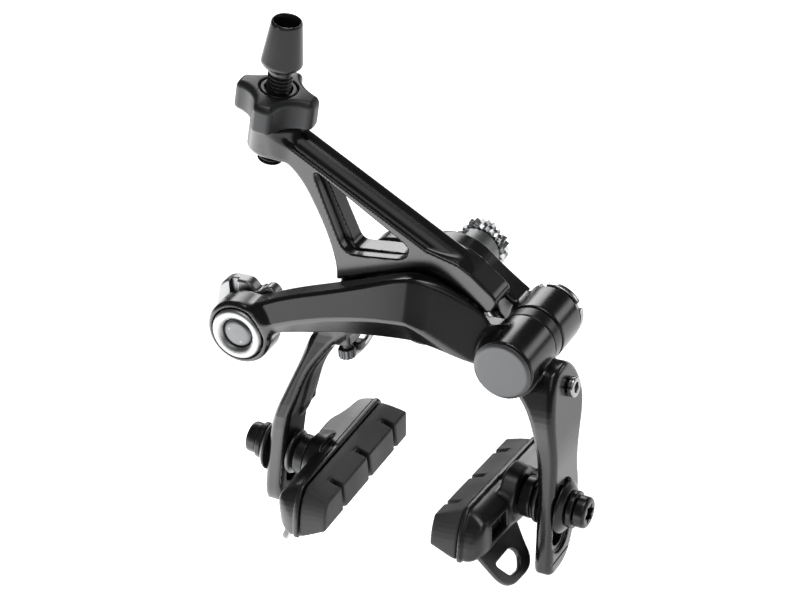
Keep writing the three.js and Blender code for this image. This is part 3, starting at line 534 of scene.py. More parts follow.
def front_arm_field(x, y, z):
    front, back = FRONT_ARM
    bar = meet(FRONT_OUTLINE(x, z), between(y, front - 0.6, back), 1.4)
    over, ahead = z - ridge_height(x), front + FACE_AHEAD - y
    bar = meet(bar, ahead * math.cos(UPPER_SLOPE) + over * math.sin(UPPER_SLOPE), 0.8)
    bar = meet(bar, ahead * math.cos(LOWER_SLOPE) - over * math.sin(LOWER_SLOPE), 0.5)
    # The facet to the right of the bend
    bar = meet(bar, plane(x, y, z, (2.2, front + FACE_AHEAD, 1.0), (0.38, -0.88, 0.24)), 1.0)
    boss = cylinder(x, y, z, 8.3, -44.3, back, ANCHOR_ORIGIN, BACK, 1.3)
    barrel = cylinder(x, y, z, 7.5, -44.2, -31, SIDE_ORIGIN, BACK, 0.35)
    arm = merge(merge(bar, boss, 3.0), barrel, 2.2)
    leg = meet(RIGHT_LEG_FRONT(x, z), RIGHT_LEG_SIDE(y, z), 1.7)
    bridge_room = np.maximum(np.maximum(between(x, 10, 33.2), between(y, -31, -10)), between(z, -30, 15))
    arm = merge(arm, carve(leg, bridge_room, 0.3), 0.8)
    # The lug and the finger that rests on the link's roller
    lug = meet(meet(between(x, 11.4, 20), between(y, -38, -31), 0.4), between(z, -8, -0.4), 0.4)
    finger = meet(meet(between(x, 11.4, 14.6), between(y, -33.4, -31), 0.4), between(z, -2, 4.6), 0.4)
    arm = merge(merge(arm, lug, 0.6), finger, 0.6)
    # The pivot's and the anchor's recesses and bores, and the centring screw's hole
    for radius, low, high, origin, rim in (
            (5.4, -50, -39.4, SIDE_ORIGIN, 0.3), (4.38, -50, -20, SIDE_ORIGIN, CRISP),
            (6.9, -50, -42.2, ANCHOR_ORIGIN, 0.4), (3.7, -50, -20, ANCHOR_ORIGIN, CRISP)):
        arm = carve(arm, cylinder(x, y, z, radius, low, high, origin, BACK, SHARP), rim)
    arm = carve(arm, cylinder(x, y, z, 1.9, 29.5, 48, CENTRING_SCREW, RIGHTWARDS, SHARP), 0.3)
    # A shallow pocket round the slot on the outer face
    outward = (x - RIGHT["x"]) * math.cos(RIGHT["lean"]) - (z - RIGHT["z"]) * math.sin(RIGHT["lean"])
    pocket = meet(slot_field(RIGHT, x, y, z) - 1.7, 1.5 - outward + 0 * y, 0.4)
    arm = carve(arm, pocket, 0.3)
    arm = carve(arm, seam(RIGHT, x, y, z), SHARP)
    return carve(arm, slot_field(RIGHT, x, y, z), 0.4)


def arms():
    upper = add_field("upper_arm_body", upper_arm_field, *box_of("upper_arm"), BODY_STEP, "gloss_black",
                      "upper_lever", ["upper_arm"])
    matt_inner_face(upper, -1, -13)
    front = add_field("front_arm_body", front_arm_field, *box_of("front_arm"), BODY_STEP, "gloss_black",
                      "front_lever", ["front_arm"])
    matt_inner_face(front, 1, -16)


# ---- turned pieces


def around(x, y, z, origin, axis):
    """Distance from an axis and height along it."""
    a = np.array(axis, float) / np.linalg.norm(axis)
    px, py, pz = x - origin[0], y - origin[1], z - origin[2]
    height = px * a[0] + py * a[1] + pz * a[2]
    return np.sqrt(np.maximum(px * px + py * py + pz * pz - height * height, 0)), height


def turned(profile, origin, axis, soft=0.3):
    """The field of a solid turned about an axis; profile is [radius, height] corners."""
    closed = [corner if len(corner) > 2 or corner[0] == 0 else [*corner, soft] for corner in profile]
    shape = outline(closed, 4)
    return lambda x, y, z: shape(*around(x, y, z, origin, axis))


def angle_about(x, y, z, origin, across, up):
    """Angle round an axis, from the across direction towards up."""
    px, py, pz = x - origin[0], y - origin[1], z - origin[2]
    u = px * across[0] + py * across[1] + pz * across[2]
    v = px * up[0] + py * up[1] + pz * up[2]
    return np.arctan2(v, u)


def hexagon(u, v, across_flats):
    """Distance to a hexagonal prism from coordinates across it."""
    u, v = np.abs(u), np.abs(v)
    return np.maximum(u * 0.5 + v * 0.8660254, u) - across_flats / 2


CUT_RIM = 0.12


def add_turned(name, node, profile, origin, axis, material, body, step=FINE, soft=0.3, cuts=()):
    """A turned piece that replaces a CAD node of its own, less some cuts."""
    base = turned(profile, origin, axis, soft)

    def field(x, y, z):
        solid = base(x, y, z)
        for cut in cuts:
            solid = carve(solid, cut(x, y, z), CUT_RIM)
        return solid

    add_field(name, field, *box_of(node, grow=0.8), step, material, body, [node], CAD_SLOT[node])


def hex_socket(origin, across_flats, low, high):
    def socket(x, y, z):
        return np.maximum(hexagon(x - origin[0], z - origin[2], across_flats), between(y, low, high))

    return socket


def nut_notch(angle):
    """One of the notches in the pivot nut's rim."""
    def notch(x, y, z):
        u, v = x - SIDE[0], z - SIDE[1]
        across = np.abs(-u * math.sin(angle) + v * math.cos(angle)) - 0.9
        return np.maximum(across, 5.9 - (u * math.cos(angle) + v * math.sin(angle))) + 0 * y

    return notch


def collar_flat(side):
    """A spanner flat on the spindle's collar."""
    def flat(x, y, z):
        return np.maximum(np.maximum(5.1 - side * (x - z) * 0.7071068, between(y, -9.4, -5.6)), 0 * x - 1)

    return flat


def pivots():
    add_turned("pivot_cap_disc", "pivot_cap", [
        [0, -45.2], [6.5, -45.2], [7.3, -44.7], [7.3, -44.5], [5.0, -44.5], [5.0, -43], [0, -43],
    ], SIDE_ORIGIN, BACK, "cap_grey", "front_lever", soft=0.35)
    add_turned("thrust_ring_band", "thrust_ring", [
        [3.7, -30.7], [7.3, -30.7], [7.3, -27], [3.7, -27],
    ], SIDE_ORIGIN, BACK, "dark_steel", "bridge_set", soft=0.35)
    notches = [nut_notch(math.radians(20 + 90 * quarter)) for quarter in range(4)]
    add_turned("pivot_nut_ring", "pivot_nut", [
        [3.7, -15.9], [7.3, -15.9], [7.3, -14.4, 0.7], [6.6, -13.8], [3.7, -13.8],
    ], SIDE_ORIGIN, BACK, "bright_steel", "bridge_set", cuts=notches)
    add_turned("side_bolt_shank", "side_pivot_bolt", [
        [0, -42.4], [5.0, -42.4, 0.6], [5.0, -39.7], [3.4, -39.7], [3.4, -13.6, 0.5], [0, -13.6],
    ], SIDE_ORIGIN, BACK, "dark_steel", "bridge_set", 0.35, cuts=[hex_socket(SIDE_ORIGIN, 5.2, -44, -40.4)])
    add_turned("spindle_shank", "centre_spindle", [
        [0, -35.8], [5.9, -35.8, 0.8], [5.9, -32.6], [3.7, -32.6], [3.7, -0.3, 0.5], [2.6, -0.3], [2.6, -16],
        [0, -17],
    ], ORIGIN, BACK, "dark_steel", "bridge_set", 0.35, cuts=[hex_socket(ORIGIN, 5.8, -37, -33.6)])
    add_turned("spindle_collar_ring", "spindle_collar", [
        [4.0, -13.7], [6, -13.7], [6, -4.3], [4.0, -4.3],
    ], ORIGIN, BACK, "satin_grey", "bridge_set", cuts=[collar_flat(1), collar_flat(-1)])
    for node, body, origin, inner, outer, low, high in (
            ("centre_bush", "upper_lever", ORIGIN, 3.8, 4.38, -31.6, -22.9),
            ("side_bush", "front_lever", SIDE_ORIGIN, 3.5, 4.08, -39.0, -31.2)):
        sleeve = [[inner, low, 0.1], [outer, low, 0.1], [outer, high, 0.1], [inner, high, 0.1]]
        add_turned(node + "_sleeve", node, sleeve, origin, BACK, "bronze", body, 0.3)


CLAMP_OUTLINE = outline([
    [-56, -10, 3], [-54, -2.4, 2.5], [-51.2, -0.2, 2], [-45.4, -0.3, 1.5], [-43.6, -3.2, 1.5],
    [-40.6, -0.4, 1.5], [-38.2, -2, 1.5], [-37.6, -12, 4], [-44, -17.4, 4], [-52, -16.8, 4],
], 7)


def anchor():
    add_turned("anchor_ring_seat", "anchor_ring", [
        [3.95, -44.2], [4.7, -45.0, 0.8], [6.0, -45.2, 0.8], [6.6, -44.6, 0.4], [6.6, -42.6], [3.95, -42.6],
    ], ANCHOR_ORIGIN, BACK, "ring_steel", "front_lever")
    bolt = turned([
        [0, -44.6], [3.0, -44.5, 0.6], [3.85, -43.9, 0.6], [3.85, -43], [3.4, -42.6], [3.4, -27.4, 0.5],
        [0, -27.4],
    ], ANCHOR_ORIGIN, BACK)

    def bolt_field(x, y, z):
        nut = meet(hexagon(x - ANCHOR[0], z - ANCHOR[1], 9.0), between(y, -31, -28), 0.35)
        return np.minimum(bolt(x, y, z), nut)

    add_field("anchor_bolt_dome", bolt_field, *box_of("anchor_bolt", grow=0.8), FINE, "bolt_dome", "anchor",
              ["anchor_bolt"], "bright_steel")
    add_turned("clamp_washer_disc", "clamp_washer", [
        [3.7, -32.3], [5.9, -32.3], [5.9, -31.3], [3.7, -31.3],
    ], ANCHOR_ORIGIN, BACK, "bright_steel", "front_lever")

    def clamp_field(x, y, z):
        body = meet(CLAMP_OUTLINE(x, z), between(y, -36.3, -32.6), 0.7)
        cable_groove = np.maximum(np.abs(x + 49.9) - 1, y + 35.2) + 0 * z
        body = carve(body, cable_groove, 0.3)
        return carve(body, cylinder(x, y, z, 3.7, -40, -30, ANCHOR_ORIGIN, BACK, SHARP), CRISP)

    add_field("clamp_block", clamp_field, *box_of("clamp_plate", grow=0.8), FINE, "clamp_steel",
              "front_lever",
              ["clamp_plate"], "bright_steel")


# ---- adjuster

SIDEWAYS = (math.cos(LEAN), 0, -math.sin(LEAN))
THREAD_PITCH, THREAD_DEPTH, THREAD_END = 1, 0.62, 24.9
LOBES, LOBE_R, LOBE_TURN = 4, 10.0, math.radians(5)
SCALLOP_R, SCALLOP_OUT = 7.6, 14.3
WHEEL_LOW, WHEEL_HIGH = 12.6, 20.4


def adjuster():
    body = turned([
        [1.1, 0], [2.6, 0], [3, 0.5], [3, 25.6], [4.8, 27.0, 0.5], [5, 27.5, 0.6], [3.7, 38.1, 0.5],
        [3.4, 38.5, 0.25], [3.2, 38.5, 0.3], [2.75, 37.4, 0.6], [2.6, 31.5], [1.1, 31.5],
    ], ADJUSTER, ADJUSTER_AXIS, 0.15)

    def barrel_field(x, y, z):
        solid = body(x, y, z)
        away, height = around(x, y, z, ADJUSTER, ADJUSTER_AXIS)
        turn = angle_about(x, y, z, ADJUSTER, SIDEWAYS, BACK) / (2 * math.pi)
        tooth = np.abs(np.mod(height + turn * THREAD_PITCH, THREAD_PITCH) - 0.5) * 2
        in_thread = np.clip((THREAD_END - height) / 0.7, 0, 1) * np.clip((away - 1.9) / 0.4, 0, 1)
        return solid + in_thread * (THREAD_DEPTH * np.clip(tooth * 1.25 - 0.12, 0, 1))

    add_field("adjuster_barrel_thread", barrel_field, *box_of("adjuster_barrel", grow=0.8), FINEST,
              "barrel_black", "adjuster_stem", ["adjuster_barrel"], "gunmetal")

    def wheel_field(x, y, z):
        away, height = around(x, y, z, ADJUSTER, ADJUSTER_AXIS)
        turn = angle_about(x, y, z, ADJUSTER, SIDEWAYS, BACK)
        # Blunt lobes between scallops: a disc less a ring of cylinders
        share = 2 * math.pi / LOBES
        from_lobe = np.mod(turn - LOBE_TURN + share / 2, share) - share / 2
        to_valley = np.abs(from_lobe) - share / 2
        reach = away ** 2 + SCALLOP_OUT ** 2 - 2 * away * SCALLOP_OUT * np.cos(to_valley)
        star = meet(away - LOBE_R, SCALLOP_R - np.sqrt(reach), 1.2)
        crown = height - WHEEL_HIGH + 0.022 * np.maximum(away - 4.9, 0) ** 2
        solid = meet(meet(star, crown, 1.5), WHEEL_LOW - height, 1.0)
        solid = carve(solid, meet(away - 4.7, 19.6 - height, 0.3), 0.25)
        return carve(solid, away - 3.3, 0.2)

    add_field("adjuster_wheel_lobes", wheel_field, *box_of("adjuster_wheel", grow=0.8), 0.28, "gunmetal",
              "adjuster_nut", ["adjuster_wheel"])
    add_turned("adjuster_insert_ring", "adjuster_insert", [
        [3.35, 19.8], [4.3, 19.8], [4.3, 20.3], [3.35, 20.3],
    ], ADJUSTER, ADJUSTER_AXIS, "dark_steel", "adjuster_nut", FINEST, 0.12)


# ---- bridge

BRIDGE_BAR = outline([
    [4, 9.6, 3], [8.4, 7.6, 3], [15.4, 1.6, 3], [20, -2, 1], [20, -11, 1], [11, -10.6, 5], [2, -9.6, 4],
])
BRIDGE_EAR = outline([[-6, 9, 2], [-17, 8.6, 2.5], [-21, 5.6, 2.5], [-17, 1.6, 2.5], [-7, -4, 2]])


def bridge_field(x, y, z):
    front, back = -22.6, -14.0
    arm = turned([
        [0, front], [9.4, front], [10.8, front + 1.4, 1], [10.8, back - 0.8, 0.8], [10, back], [0, back],
    ], ORIGIN, BACK)(x, y, z)
    arm = merge(arm, meet(BRIDGE_BAR(x, z), between(y, front, back - 0.4), 1.2), 1.5)
    arm = merge(arm, meet(BRIDGE_EAR(x, z), between(y, -20, back - 0.4), 1.0), 1.5)
    barrel = turned([
        [0, -26.7], [7.5, -26.7, 0.5], [7.5, -17], [6.7, -16.2], [0, -16.2],
    ], SIDE_ORIGIN, BACK)(x, y, z)
    arm = merge(arm, barrel, 1.2)
    arm = carve(arm, cylinder(x, y, z, 7.7, -16.2, -10, SIDE_ORIGIN, BACK, SHARP), CRISP)
    # The two pivots' bores, the spring hook's hole and the hole in the ear
    for radius, origin in ((4.0, ORIGIN), (3.7, SIDE_ORIGIN), (1.8, (13.5, 0, -6.6)), (1.5, (-17.2, 0, 5))):
        arm = carve(arm, cylinder(x, y, z, radius, -30, 0, origin, BACK, SHARP), 0.3)
    return arm


# ---- spring, link and screws


COIL_R, COIL_PITCH, COIL_START_Y = 10.2, 2.2, -26.9
WIRE_R, WIRE_SIDES = 0.9, 16


def spring_route():
    """The wire's centre line, as in the CAD: a leg, a coil and a hook into the bridge."""
    points = [[-21.7, -31.4, -18.3], [-21.6, -29, -18.5], [-20.2, -27, -16.9], [-15, -27, -6.8]]
    first, last, steps = 153, 21 - 360, 18
    for i in range(steps + 1):
        degrees = first + (last - first) * i / steps
        turn = math.radians(degrees)
        back = COIL_START_Y + COIL_PITCH * (first - degrees) / 360
        points.append([COIL_R * math.cos(turn), back, COIL_R * math.sin(turn)])
    behind = COIL_START_Y + COIL_PITCH * (first - last) / 360
    points += [[12.5, behind, -4.2]] + [[13.5, behind + further, -6.6] for further in (1.2, 4, 6)]
    return np.array(points)


def smooth_route(points, per_span=9):
    """A curve through the points, tight at close ones, by centripetal weights."""
    before = 2 * points[0] - points[1]
    after = 2 * points[-1] - points[-2]
    p = np.vstack([before, points, after])
    line = []
    for i in range(1, len(p) - 2):
        quad = p[i - 1:i + 3]
        knots = np.concatenate([[0], np.cumsum(np.linalg.norm(np.diff(quad, axis=0), axis=1) ** 0.5)])
        for t in np.linspace(knots[1], knots[2], per_span, endpoint=False):
            level = list(quad)
            for depth in range(1, 4):
                level = [((knots[k + depth] - t) * level[k] + (t - knots[k]) * level[k + 1])
                         / (knots[k + depth] - knots[k]) for k in range(4 - depth)]
            line.append(level[0])
    line.append(points[-1])
    return np.array(line)


def add_spring():
    """The wire, from the bridge's end to the arm's end, as one fixed tube."""
    route = smooth_route(spring_route())
    ahead = np.gradient(route, axis=0)
    ahead /= np.linalg.norm(ahead, axis=1)[:, None]
    across = np.cross(ahead[0], (0, 0, 1))
    points, faces = [], []
    for index, (centre, direction) in enumerate(zip(route, ahead)):
        across = across - direction * np.dot(across, direction)
        across /= np.linalg.norm(across)
        other = np.cross(direction, across)
        for side in range(WIRE_SIDES):
            turn = 2 * math.pi * side / WIRE_SIDES
            points.append(centre + (across * math.cos(turn) + other * math.sin(turn)) * WIRE_R)
            if index:
                a = (index - 1) * WIRE_SIDES + side
                b = (index - 1) * WIRE_SIDES + (side + 1) % WIRE_SIDES
                faces.append([a, b, b + WIRE_SIDES, a + WIRE_SIDES])
    faces.append(list(range(WIRE_SIDES))[::-1])
    faces.append([len(points) - WIRE_SIDES + side for side in range(WIRE_SIDES)])
    wire = add_piece("return_spring_wire", points, None, faces, "spring_steel", None)
    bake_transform(wire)
    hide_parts("return_spring")


def small_hardware():
    add_turned("link_pin_rod", "link_pin", [
        [0, -35.0], [0.9, -35.0, 0.2], [0.9, -28.5, 0.2], [0, -28.5],
    ], LINK_PIN, BACK, "bright_steel", "upper_lever", FINEST)
    add_turned("link_roller_wheel", "link_roller", [
        [1.2, -33.6], [2.4, -33.6], [2.4, -30.8], [1.2, -30.8],
    ], LINK_PIN, BACK, "bright_steel", "roller", FINEST)

    def screw_socket(x, y, z):
        return np.maximum(hexagon(y - CENTRING_SCREW[1], z - CENTRING_SCREW[2], 2.5), 37.0 - x)

    add_turned("centring_screw_head", "centring_screw", [
        [0, 30], [1.6, 30], [1.6, 36.8], [2.5, 36.8], [2.5, 38.3, 0.5], [0, 38.3],
    ], CENTRING_SCREW, RIGHTWARDS, "bright_steel", "centring", FINEST, 0.25, [screw_socket])

    def shoe_field(x, y, z):
        block = meet(between(x, -24.2, -19.2), between(y, -31.6, -28.8), 0.5)
        return meet(block, between(z, -16.8, -14.7), 0.5)

    add_field("spring_shoe_block", shoe_field, *box_of("spring_shoe", grow=0.8), 0.25, "black_plastic",
              "upper_lever", ["spring_shoe"])

    def knurl_field(x, y, z):
        away, height = around(x, y, z, SPRING_SCREW, UP)
        turn = np.arctan2(y - SPRING_SCREW[1], x - SPRING_SCREW[0])
        head = meet(away - 2.0 - 0.12 * np.cos(12 * turn), between(height, -17.4, -14.8), 0.3)
        return np.minimum(head, meet(away - 1.1, between(height, -15, -6.4), 0.2))

    add_field("spring_screw_knurl", knurl_field, *box_of("spring_screw", grow=0.8), FINEST, "satin_dark",
              "tension", ["spring_screw"], "bright_steel")


# ---- pads and their bolts


def turn_about_y(angle):
    cos, sin = math.cos(angle), math.sin(angle)
    return np.array([[cos, 0, sin], [0, 1, 0], [-sin, 0, cos]])


def turn_about_x(angle):
    cos, sin = math.cos(angle), math.sin(angle)
    return np.array([[1, 0, 0], [0, cos, -sin], [0, sin, cos]])


def local(leg, x, y, z, turn):
    """Coordinates about the pad bolt's middle in a turned frame."""
    px, py, pz = x - leg["x"], y - BOLT_Y, z - leg["z"]
    return [px * turn[0, k] + py * turn[1, k] + pz * turn[2, k] for k in range(3)]


PAD_TOP, PAD_BOTTOM, PAD_REAR = 4.5, -6.6, 21.2  # from the pad bolt
PAD_THICK, HOLDER_THICK = 7.0, 7.0
HOLDER_BACK = PAD_THICK + HOLDER_THICK
PARTING = 0.15  # half the gap between rubber and holder
GROOVES = (-13.6, 0, 13.6)
GROOVE_SLANT = math.tan(math.radians(5))
BORE_R = 2.8  # round the pad bolt

# Sections across the pad: out from the braking face, then up
RUBBER_END = outline([
    [0, 2.6, 0.4], [PAD_THICK - PARTING, PAD_TOP], [PAD_THICK - PARTING, PAD_BOTTOM], [0.8, -4.1, 0.5],
    [0, -3.8, 0.5],
])
HOLDER_END = outline([
    [PAD_THICK + PARTING, PAD_TOP + 0.3], [PAD_THICK + 2.4, PAD_TOP + 0.3, 2],
    [HOLDER_BACK, PAD_TOP - 2.6, 2], [HOLDER_BACK, PAD_BOTTOM + 1.6, 2],
    [PAD_THICK + 3.4, PAD_BOTTOM - 0.2, 1.5], [PAD_THICK + PARTING, PAD_BOTTOM - 0.2],
])
# The shelf behind the bolt, from above: out, then back
SHELF_PLAN = outline([
    [PAD_THICK + 0.6, -1.5, 1], [HOLDER_BACK + 1.4, 3.4, 1.2], [HOLDER_BACK + 1.4, 9.4, 2],
    [HOLDER_BACK - 0.4, 13.6, 3], [HOLDER_BACK - 1.4, PAD_REAR - 1, 2], [PAD_THICK + 0.6, PAD_REAR, 1],
])
# The tyre guide's wing and the loop cut out of it, from the side
WING = outline([
    [-21, 2.4], [-18, -7, 3], [-14.7, -9.8, 3], [-5.5, -10, 3], [-2.4, -7.8, 2], [-1.9, -3.8, 3], [0, 2.4],
], 7)
LOOP = outline([[-17, -2.6, 1.5], [-13.6, -7.6, 1.5], [-8.6, -8, 1.5], [-6, -5.2, 1.5], [-8, -2.4, 1.5]], 7)
WING_FLARE = math.radians(30)


def pad_profile(leg, grow):
    """The pad seen from the side, with its slanting nose."""
    nose = leg["nose"]
    return outline([
        [nose + 5.4 - grow, PAD_TOP + grow, 2], [nose + 1.6 - grow, 0.4, 4],
        [nose - grow, PAD_BOTTOM - grow, 1.2], [PAD_REAR - 2 + grow, PAD_BOTTOM - grow, 2.5],
        [PAD_REAR + grow, PAD_TOP + grow, 2.5],
    ])


def pad_pieces(leg):
    """A pad's rubber, holder and tyre guide, in its own turned frame."""
    name, side = leg["name"], leg["side"]
    shoe = name + "_shoe"
    inner = turn_about_y(leg["lean"]) @ turn_about_x(leg["tilt"])
    level = inner @ turn_about_y(-leg["lean"])
    face = leg["face"] - leg["x"]
    rubber_profile, holder_profile = pad_profile(leg, 0), pad_profile(leg, 0.1)
    holder_plan = outline([
        [PAD_THICK, -27], [PAD_THICK, 27], [HOLDER_BACK, PAD_REAR - 2, 2], [HOLDER_BACK, leg["nose"] + 3, 3],
    ])

    def rubber_field(x, y, z):
        u, v, w = local(leg, x, y, z, level)
        depth = side * (u - face)
        block = meet(rubber_profile(v, w), RUBBER_END(depth, w), 0.55)
        for groove in GROOVES:
            at = v - groove - depth * GROOVE_SLANT
            notch = np.maximum(np.abs(at) - 0.75, depth - 3.4)
            scoop = np.maximum(np.hypot(at, w - PAD_TOP - 0.3) - 1.4, depth - 3.8)
            block = carve(block, np.minimum(notch, scoop), 0.3)
        return block

    add_field(name + "_pad_block", rubber_field, *box_of(name + "_pad_rubber"), PLATE_STEP, "rubber", shoe,
              [name + "_pad_rubber"])

    def holder_field(x, y, z):
        u, v, w = local(leg, x, y, z, level)
        depth = side * (u - face)
        body = meet(meet(holder_profile(v, w), HOLDER_END(depth, w), 1.0), holder_plan(depth, v), 1.2)
        rim = between(depth, PAD_THICK + PARTING, PAD_THICK + 1.3)
        body = merge(body, meet(holder_profile(v, w) - 0.35, rim, 0.3), 0.4)
        shelf = meet(SHELF_PLAN(depth, v), between(w, 1.6, PAD_TOP + 0.1), 0.9)
        body = merge(body, shelf, 1.2)
        for low, high in ((-17, -8.5), (8.5, 16)):
            opening = np.maximum(between(v, low, high), between(w, -3.4, 0.8))
            body = carve(body, np.maximum(opening, PAD_THICK + 4.6 - depth), 0.5)
        # The boss round the bolt
        bu, bv, bw = local(leg, x, y, z, inner)
        cone = np.hypot(bv, bw) - 6.9 + 0.22 * (side * bu + 9)
        boss = np.maximum(meet(cone, between(side * bu, -11.6, -7.7), 0.5), PAD_BOTTOM - w)
        body = merge(body, boss, 0.9)
        return carve(body, np.maximum(np.hypot(bv, bw) - BORE_R, -11.3 - side * bu), CRISP)

    add_field(name + "_holder_shell", holder_field, *box_of(name + "_pad_holder"), PLATE_STEP, "holder_black",
              shoe, [name + "_pad_holder"])

    flare = WING_FLARE * side
    root = (face + side * PAD_THICK + side * 5.2, PAD_BOTTOM - 0.8)

    def guide_field(x, y, z):
        u, v, w = local(leg, x, y, z, level)
        du, dw = u - root[0], w - root[1]
        across = du * math.cos(flare) + dw * math.sin(flare)
        down = -du * math.sin(flare) + dw * math.cos(flare)
        sheet = meet(WING(v, down), np.abs(across) - 0.7, 0.4)
        return carve(sheet, LOOP(v, down), 0.4)

    add_field(name + "_guide_wing", guide_field, *box_of(name + "_tyre_guide"), 0.28, "holder_black", shoe,
              [name + "_tyre_guide"])


def pad_bolt_pieces(leg):
    """The pad bolt and the washers on both sides of the leg, turned about the bolt."""
    name, half = leg["name"], leg["half"]
    axis = turn_about_y(leg["lean"]) @ np.array([leg["side"], 0, 0])
    origin = (leg["x"], BOLT_Y, leg["z"])
    out = half + 4.1

    def star_socket(x, y, z):
        u, v, w = local(leg, x, y, z, turn_about_y(leg["lean"]))
        radius = 2.0 + 0.4 * np.cos(6 * np.arctan2(w, v))
        return np.maximum(np.hypot(v, w) - radius, out + 0.8 - leg["side"] * u)

    def on_bolt(piece, node, profile, material="dark_steel", step=FINE, soft=0.3, cuts=()):
        add_turned(name + piece, name + node, profile, origin, axis, material, name + "_carriage", step, soft,
                   cuts)

    on_bolt("_bolt_head", "_pad_bolt", [
        [0, -11], [2.5, -11], [2.5, out], [3.9, out], [3.9, out + 2.4, 0.8], [3.2, out + 2.8], [0, out + 2.8],
    ], step=0.24, soft=0.25, cuts=[star_socket])
    on_bolt("_dish_outer", "_outer_washer", [
        [BORE_R, half + 0.3], [6.6, half + 0.3, 0.2], [6.6, half + 0.9, 0.4], [5, half + 2.1, 0.5],
        [BORE_R, half + 2.1],
    ])
    on_bolt("_ring_thin", "_thin_washer", [
        [BORE_R, half + 2.4], [4.6, half + 2.4], [4.6, half + 3.8], [BORE_R, half + 3.8],
    ])
    on_bolt("_dish_inner", "_dished_washer", [
        [BORE_R, -half - 2.1], [3.4, -half - 2.1, 0.4], [5.6, -half - 1.2, 0.5], [5.6, -half - 0.3],
        [BORE_R, -half - 0.3],
    ], "satin_dark")
    on_bolt("_dome_inner", "_domed_washer", [
        [BORE_R, -7.1], [5, -7.1], [5.1, -half - 2.2, 0.5], [4.6, -half - 2.0], [3.4, -half - 2.45],
        [BORE_R, -half - 2.45],
    ])


arms()
add_field("bridge_body", bridge_field, *box_of("bridge"), PLATE_STEP, "gloss_black", "bridge_set", ["bridge"])
pivots()
anchor()
adjuster()
add_spring()
small_hardware()
for each_leg in (LEFT, RIGHT):
    pad_pieces(each_leg)
    pad_bolt_pieces(each_leg)

# ---- stage, light and camera


TABLE_GLOW = 5.0  # strength of the floor's painted glow at its brightest: the floor emits light though it is no lamp
NEAR_GLOW, FAR_GLOW = 0.19, 0.025  # of that, under the part and towards the horizon: a painted glow that fades away from the part
TABLE_REACH = (1.6, 1.6)
FLOOR_HALF, FLOOR_GAP = 3.0, 0.012  # metres; the gap is below the part
PAINTED_GLOW_PATCH = {"place": (-0.32, -0.17), "reach": (0.40, 0.26)}  # a painted pool of glow on the floor in front, to the left, that the black paint reflects


def pool(tree, place, reach):
    """A mask for a painted pool of glow on the floor: 1 at a place, falling to 0 a reach away."""
    where = tree.nodes.new("ShaderNodeTexCoord")
    mapping = tree.nodes.new("ShaderNodeMapping")
    mapping.inputs["Location"].default_value = (-place[0] / reach[0], -place[1] / reach[1], 0)
    mapping.inputs["Scale"].default_value = (1 / reach[0], 1 / reach[1], 0)
    glow = tree.nodes.new("ShaderNodeTexGradient")
    glow.gradient_type = "SPHERICAL"
    tree.links.new(where.outputs["Object"], mapping.inputs["Vector"])
    tree.links.new(mapping.outputs["Vector"], glow.inputs["Vector"])
    return glow.outputs["Fac"]


def make_floor():
    low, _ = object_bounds()
    far, z = FLOOR_HALF, low.z - FLOOR_GAP
    mesh = bpy.data.meshes.new("floor")
    mesh.from_pydata([(-far, -far, z), (far, -far, z), (far, far, z), (-far, far, z)], [], [(0, 1, 2, 3)])
    floor = bpy.data.objects.new("floor", mesh)
    bpy.context.collection.objects.link(floor)
    material, tree, shader = node_tree("floor_painted_glow")
    tree.links.new(ramp(tree, noise(tree, 8), 0.86, 0.88), shader.inputs["Base Color"])
    shader.inputs["Roughness"].default_value = 0.9
    # The floor glows though it is no lamp: a painted glow under the part that fades towards the horizon, and
    # a brighter painted patch in front, to the left
    table = ramp(tree, pool(tree, (0, 0), TABLE_REACH), FAR_GLOW, NEAR_GLOW, 0.1, 0.55)
    near = pool(tree, PAINTED_GLOW_PATCH["place"], PAINTED_GLOW_PATCH["reach"])
    painted_patch = ramp(tree, near, 0.0, 1.0, 0.0, 0.34)
    glow = blend_colours(tree, painted_patch, table, ramp(tree, near, 0.9, 1.0))
    tree.links.new(glow, shader.inputs["Emission Color"])
    shader.inputs["Emission Strength"].default_value = TABLE_GLOW
    mesh.materials.append(material)


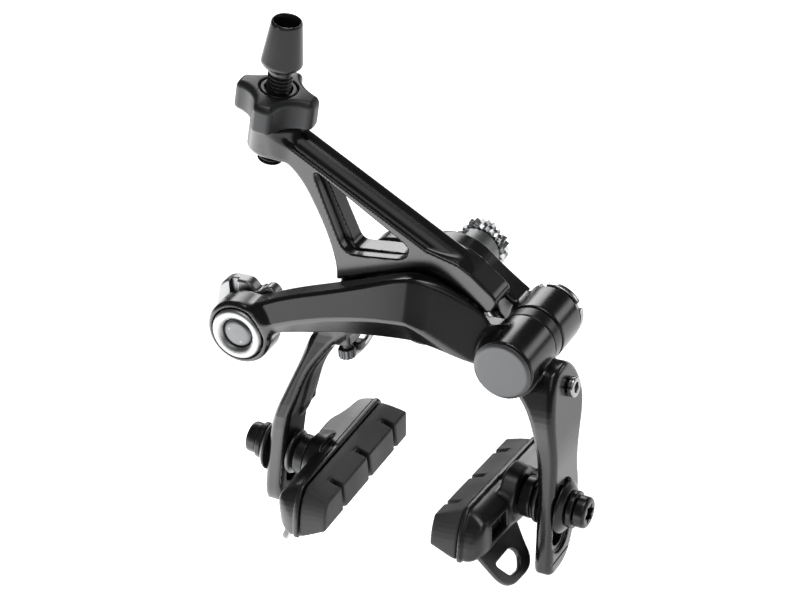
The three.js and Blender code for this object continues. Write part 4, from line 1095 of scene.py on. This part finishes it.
# Where each box hangs, its width and height, in metres, and its watts
LIGHT_TARGET = (0, -0.03, 0)
LIGHTS = {
    "front_box": ((0.42, -0.82, 0.88), 0.60, 0.85, 1.9),
    "front_left_box": ((-0.78, -1.10, 0.08), 0.55, 0.45, 1.8),
    "back_right_box": ((0.71, 0.88, 0.31), 0.50, 0.30, 1.3),
    "back_left_box": ((-0.50, 0.88, 0.54), 0.60, 0.45, 5.0),
    "overhead": ((0.15, -0.05, 1.1), 0.5, 0.5, 5),
}


def make_light(name, place, width, height, watts):
    data = bpy.data.lights.new(name, "AREA")
    data.shape = "RECTANGLE"
    data.size, data.size_y, data.energy = width, height, watts
    light = bpy.data.objects.new(name, data)
    light.location = place
    light.rotation_euler = (Vector(LIGHT_TARGET) - Vector(place)).to_track_quat("-Z", "Y").to_euler()
    bpy.context.collection.objects.link(light)


def make_world():
    world = bpy.data.worlds.new("studio")
    world.use_nodes = True
    background = world.node_tree.nodes["Background"]
    background.inputs["Color"].default_value = (1.0, 1.0, 1.0, 1)
    background.inputs["Strength"].default_value = 0.10
    bpy.context.scene.world = world


# Degrees, and millimetres for the distance and the lens
CAMERA = {"azimuth": 28.73, "elevation": 29.81, "roll": 4.71, "distance": 845.0, "lens": 157.437}
SENSOR = 36.0
SUBJECT = (0, -2, 0)
AIM = (19.66498, 13.12931)  # how far right of and above the middle of the view the subject stands


def make_camera():
    azimuth, elevation, roll = (math.radians(CAMERA[k]) for k in ("azimuth", "elevation", "roll"))
    level = math.cos(elevation)
    back = Vector((math.sin(azimuth) * level, -math.cos(azimuth) * level, math.sin(elevation)))
    right = Vector((math.cos(azimuth), math.sin(azimuth), 0))
    up = back.cross(right)
    rolled_right = right * math.cos(roll) - up * math.sin(roll)
    rolled_up = right * math.sin(roll) + up * math.cos(roll)
    offset = rolled_right * AIM[0] + rolled_up * AIM[1] - back * CAMERA["distance"]
    place = Vector(SUBJECT) - offset
    data = bpy.data.cameras.new("camera")
    data.sensor_width = SENSOR
    data.lens = CAMERA["lens"]
    data.clip_start, data.clip_end = 0.01, 20
    camera = bpy.data.objects.new("camera", data)
    rotation = Matrix((rolled_right, rolled_up, back)).transposed().to_4x4()
    camera.matrix_world = Matrix.Translation(place * MM) @ rotation
    bpy.context.collection.objects.link(camera)
    bpy.context.scene.camera = camera


make_floor()
make_world()
for light_name, settings in LIGHTS.items():
    make_light(light_name, *settings)
make_camera()
bpy.context.scene.view_settings.view_transform = "Standard"
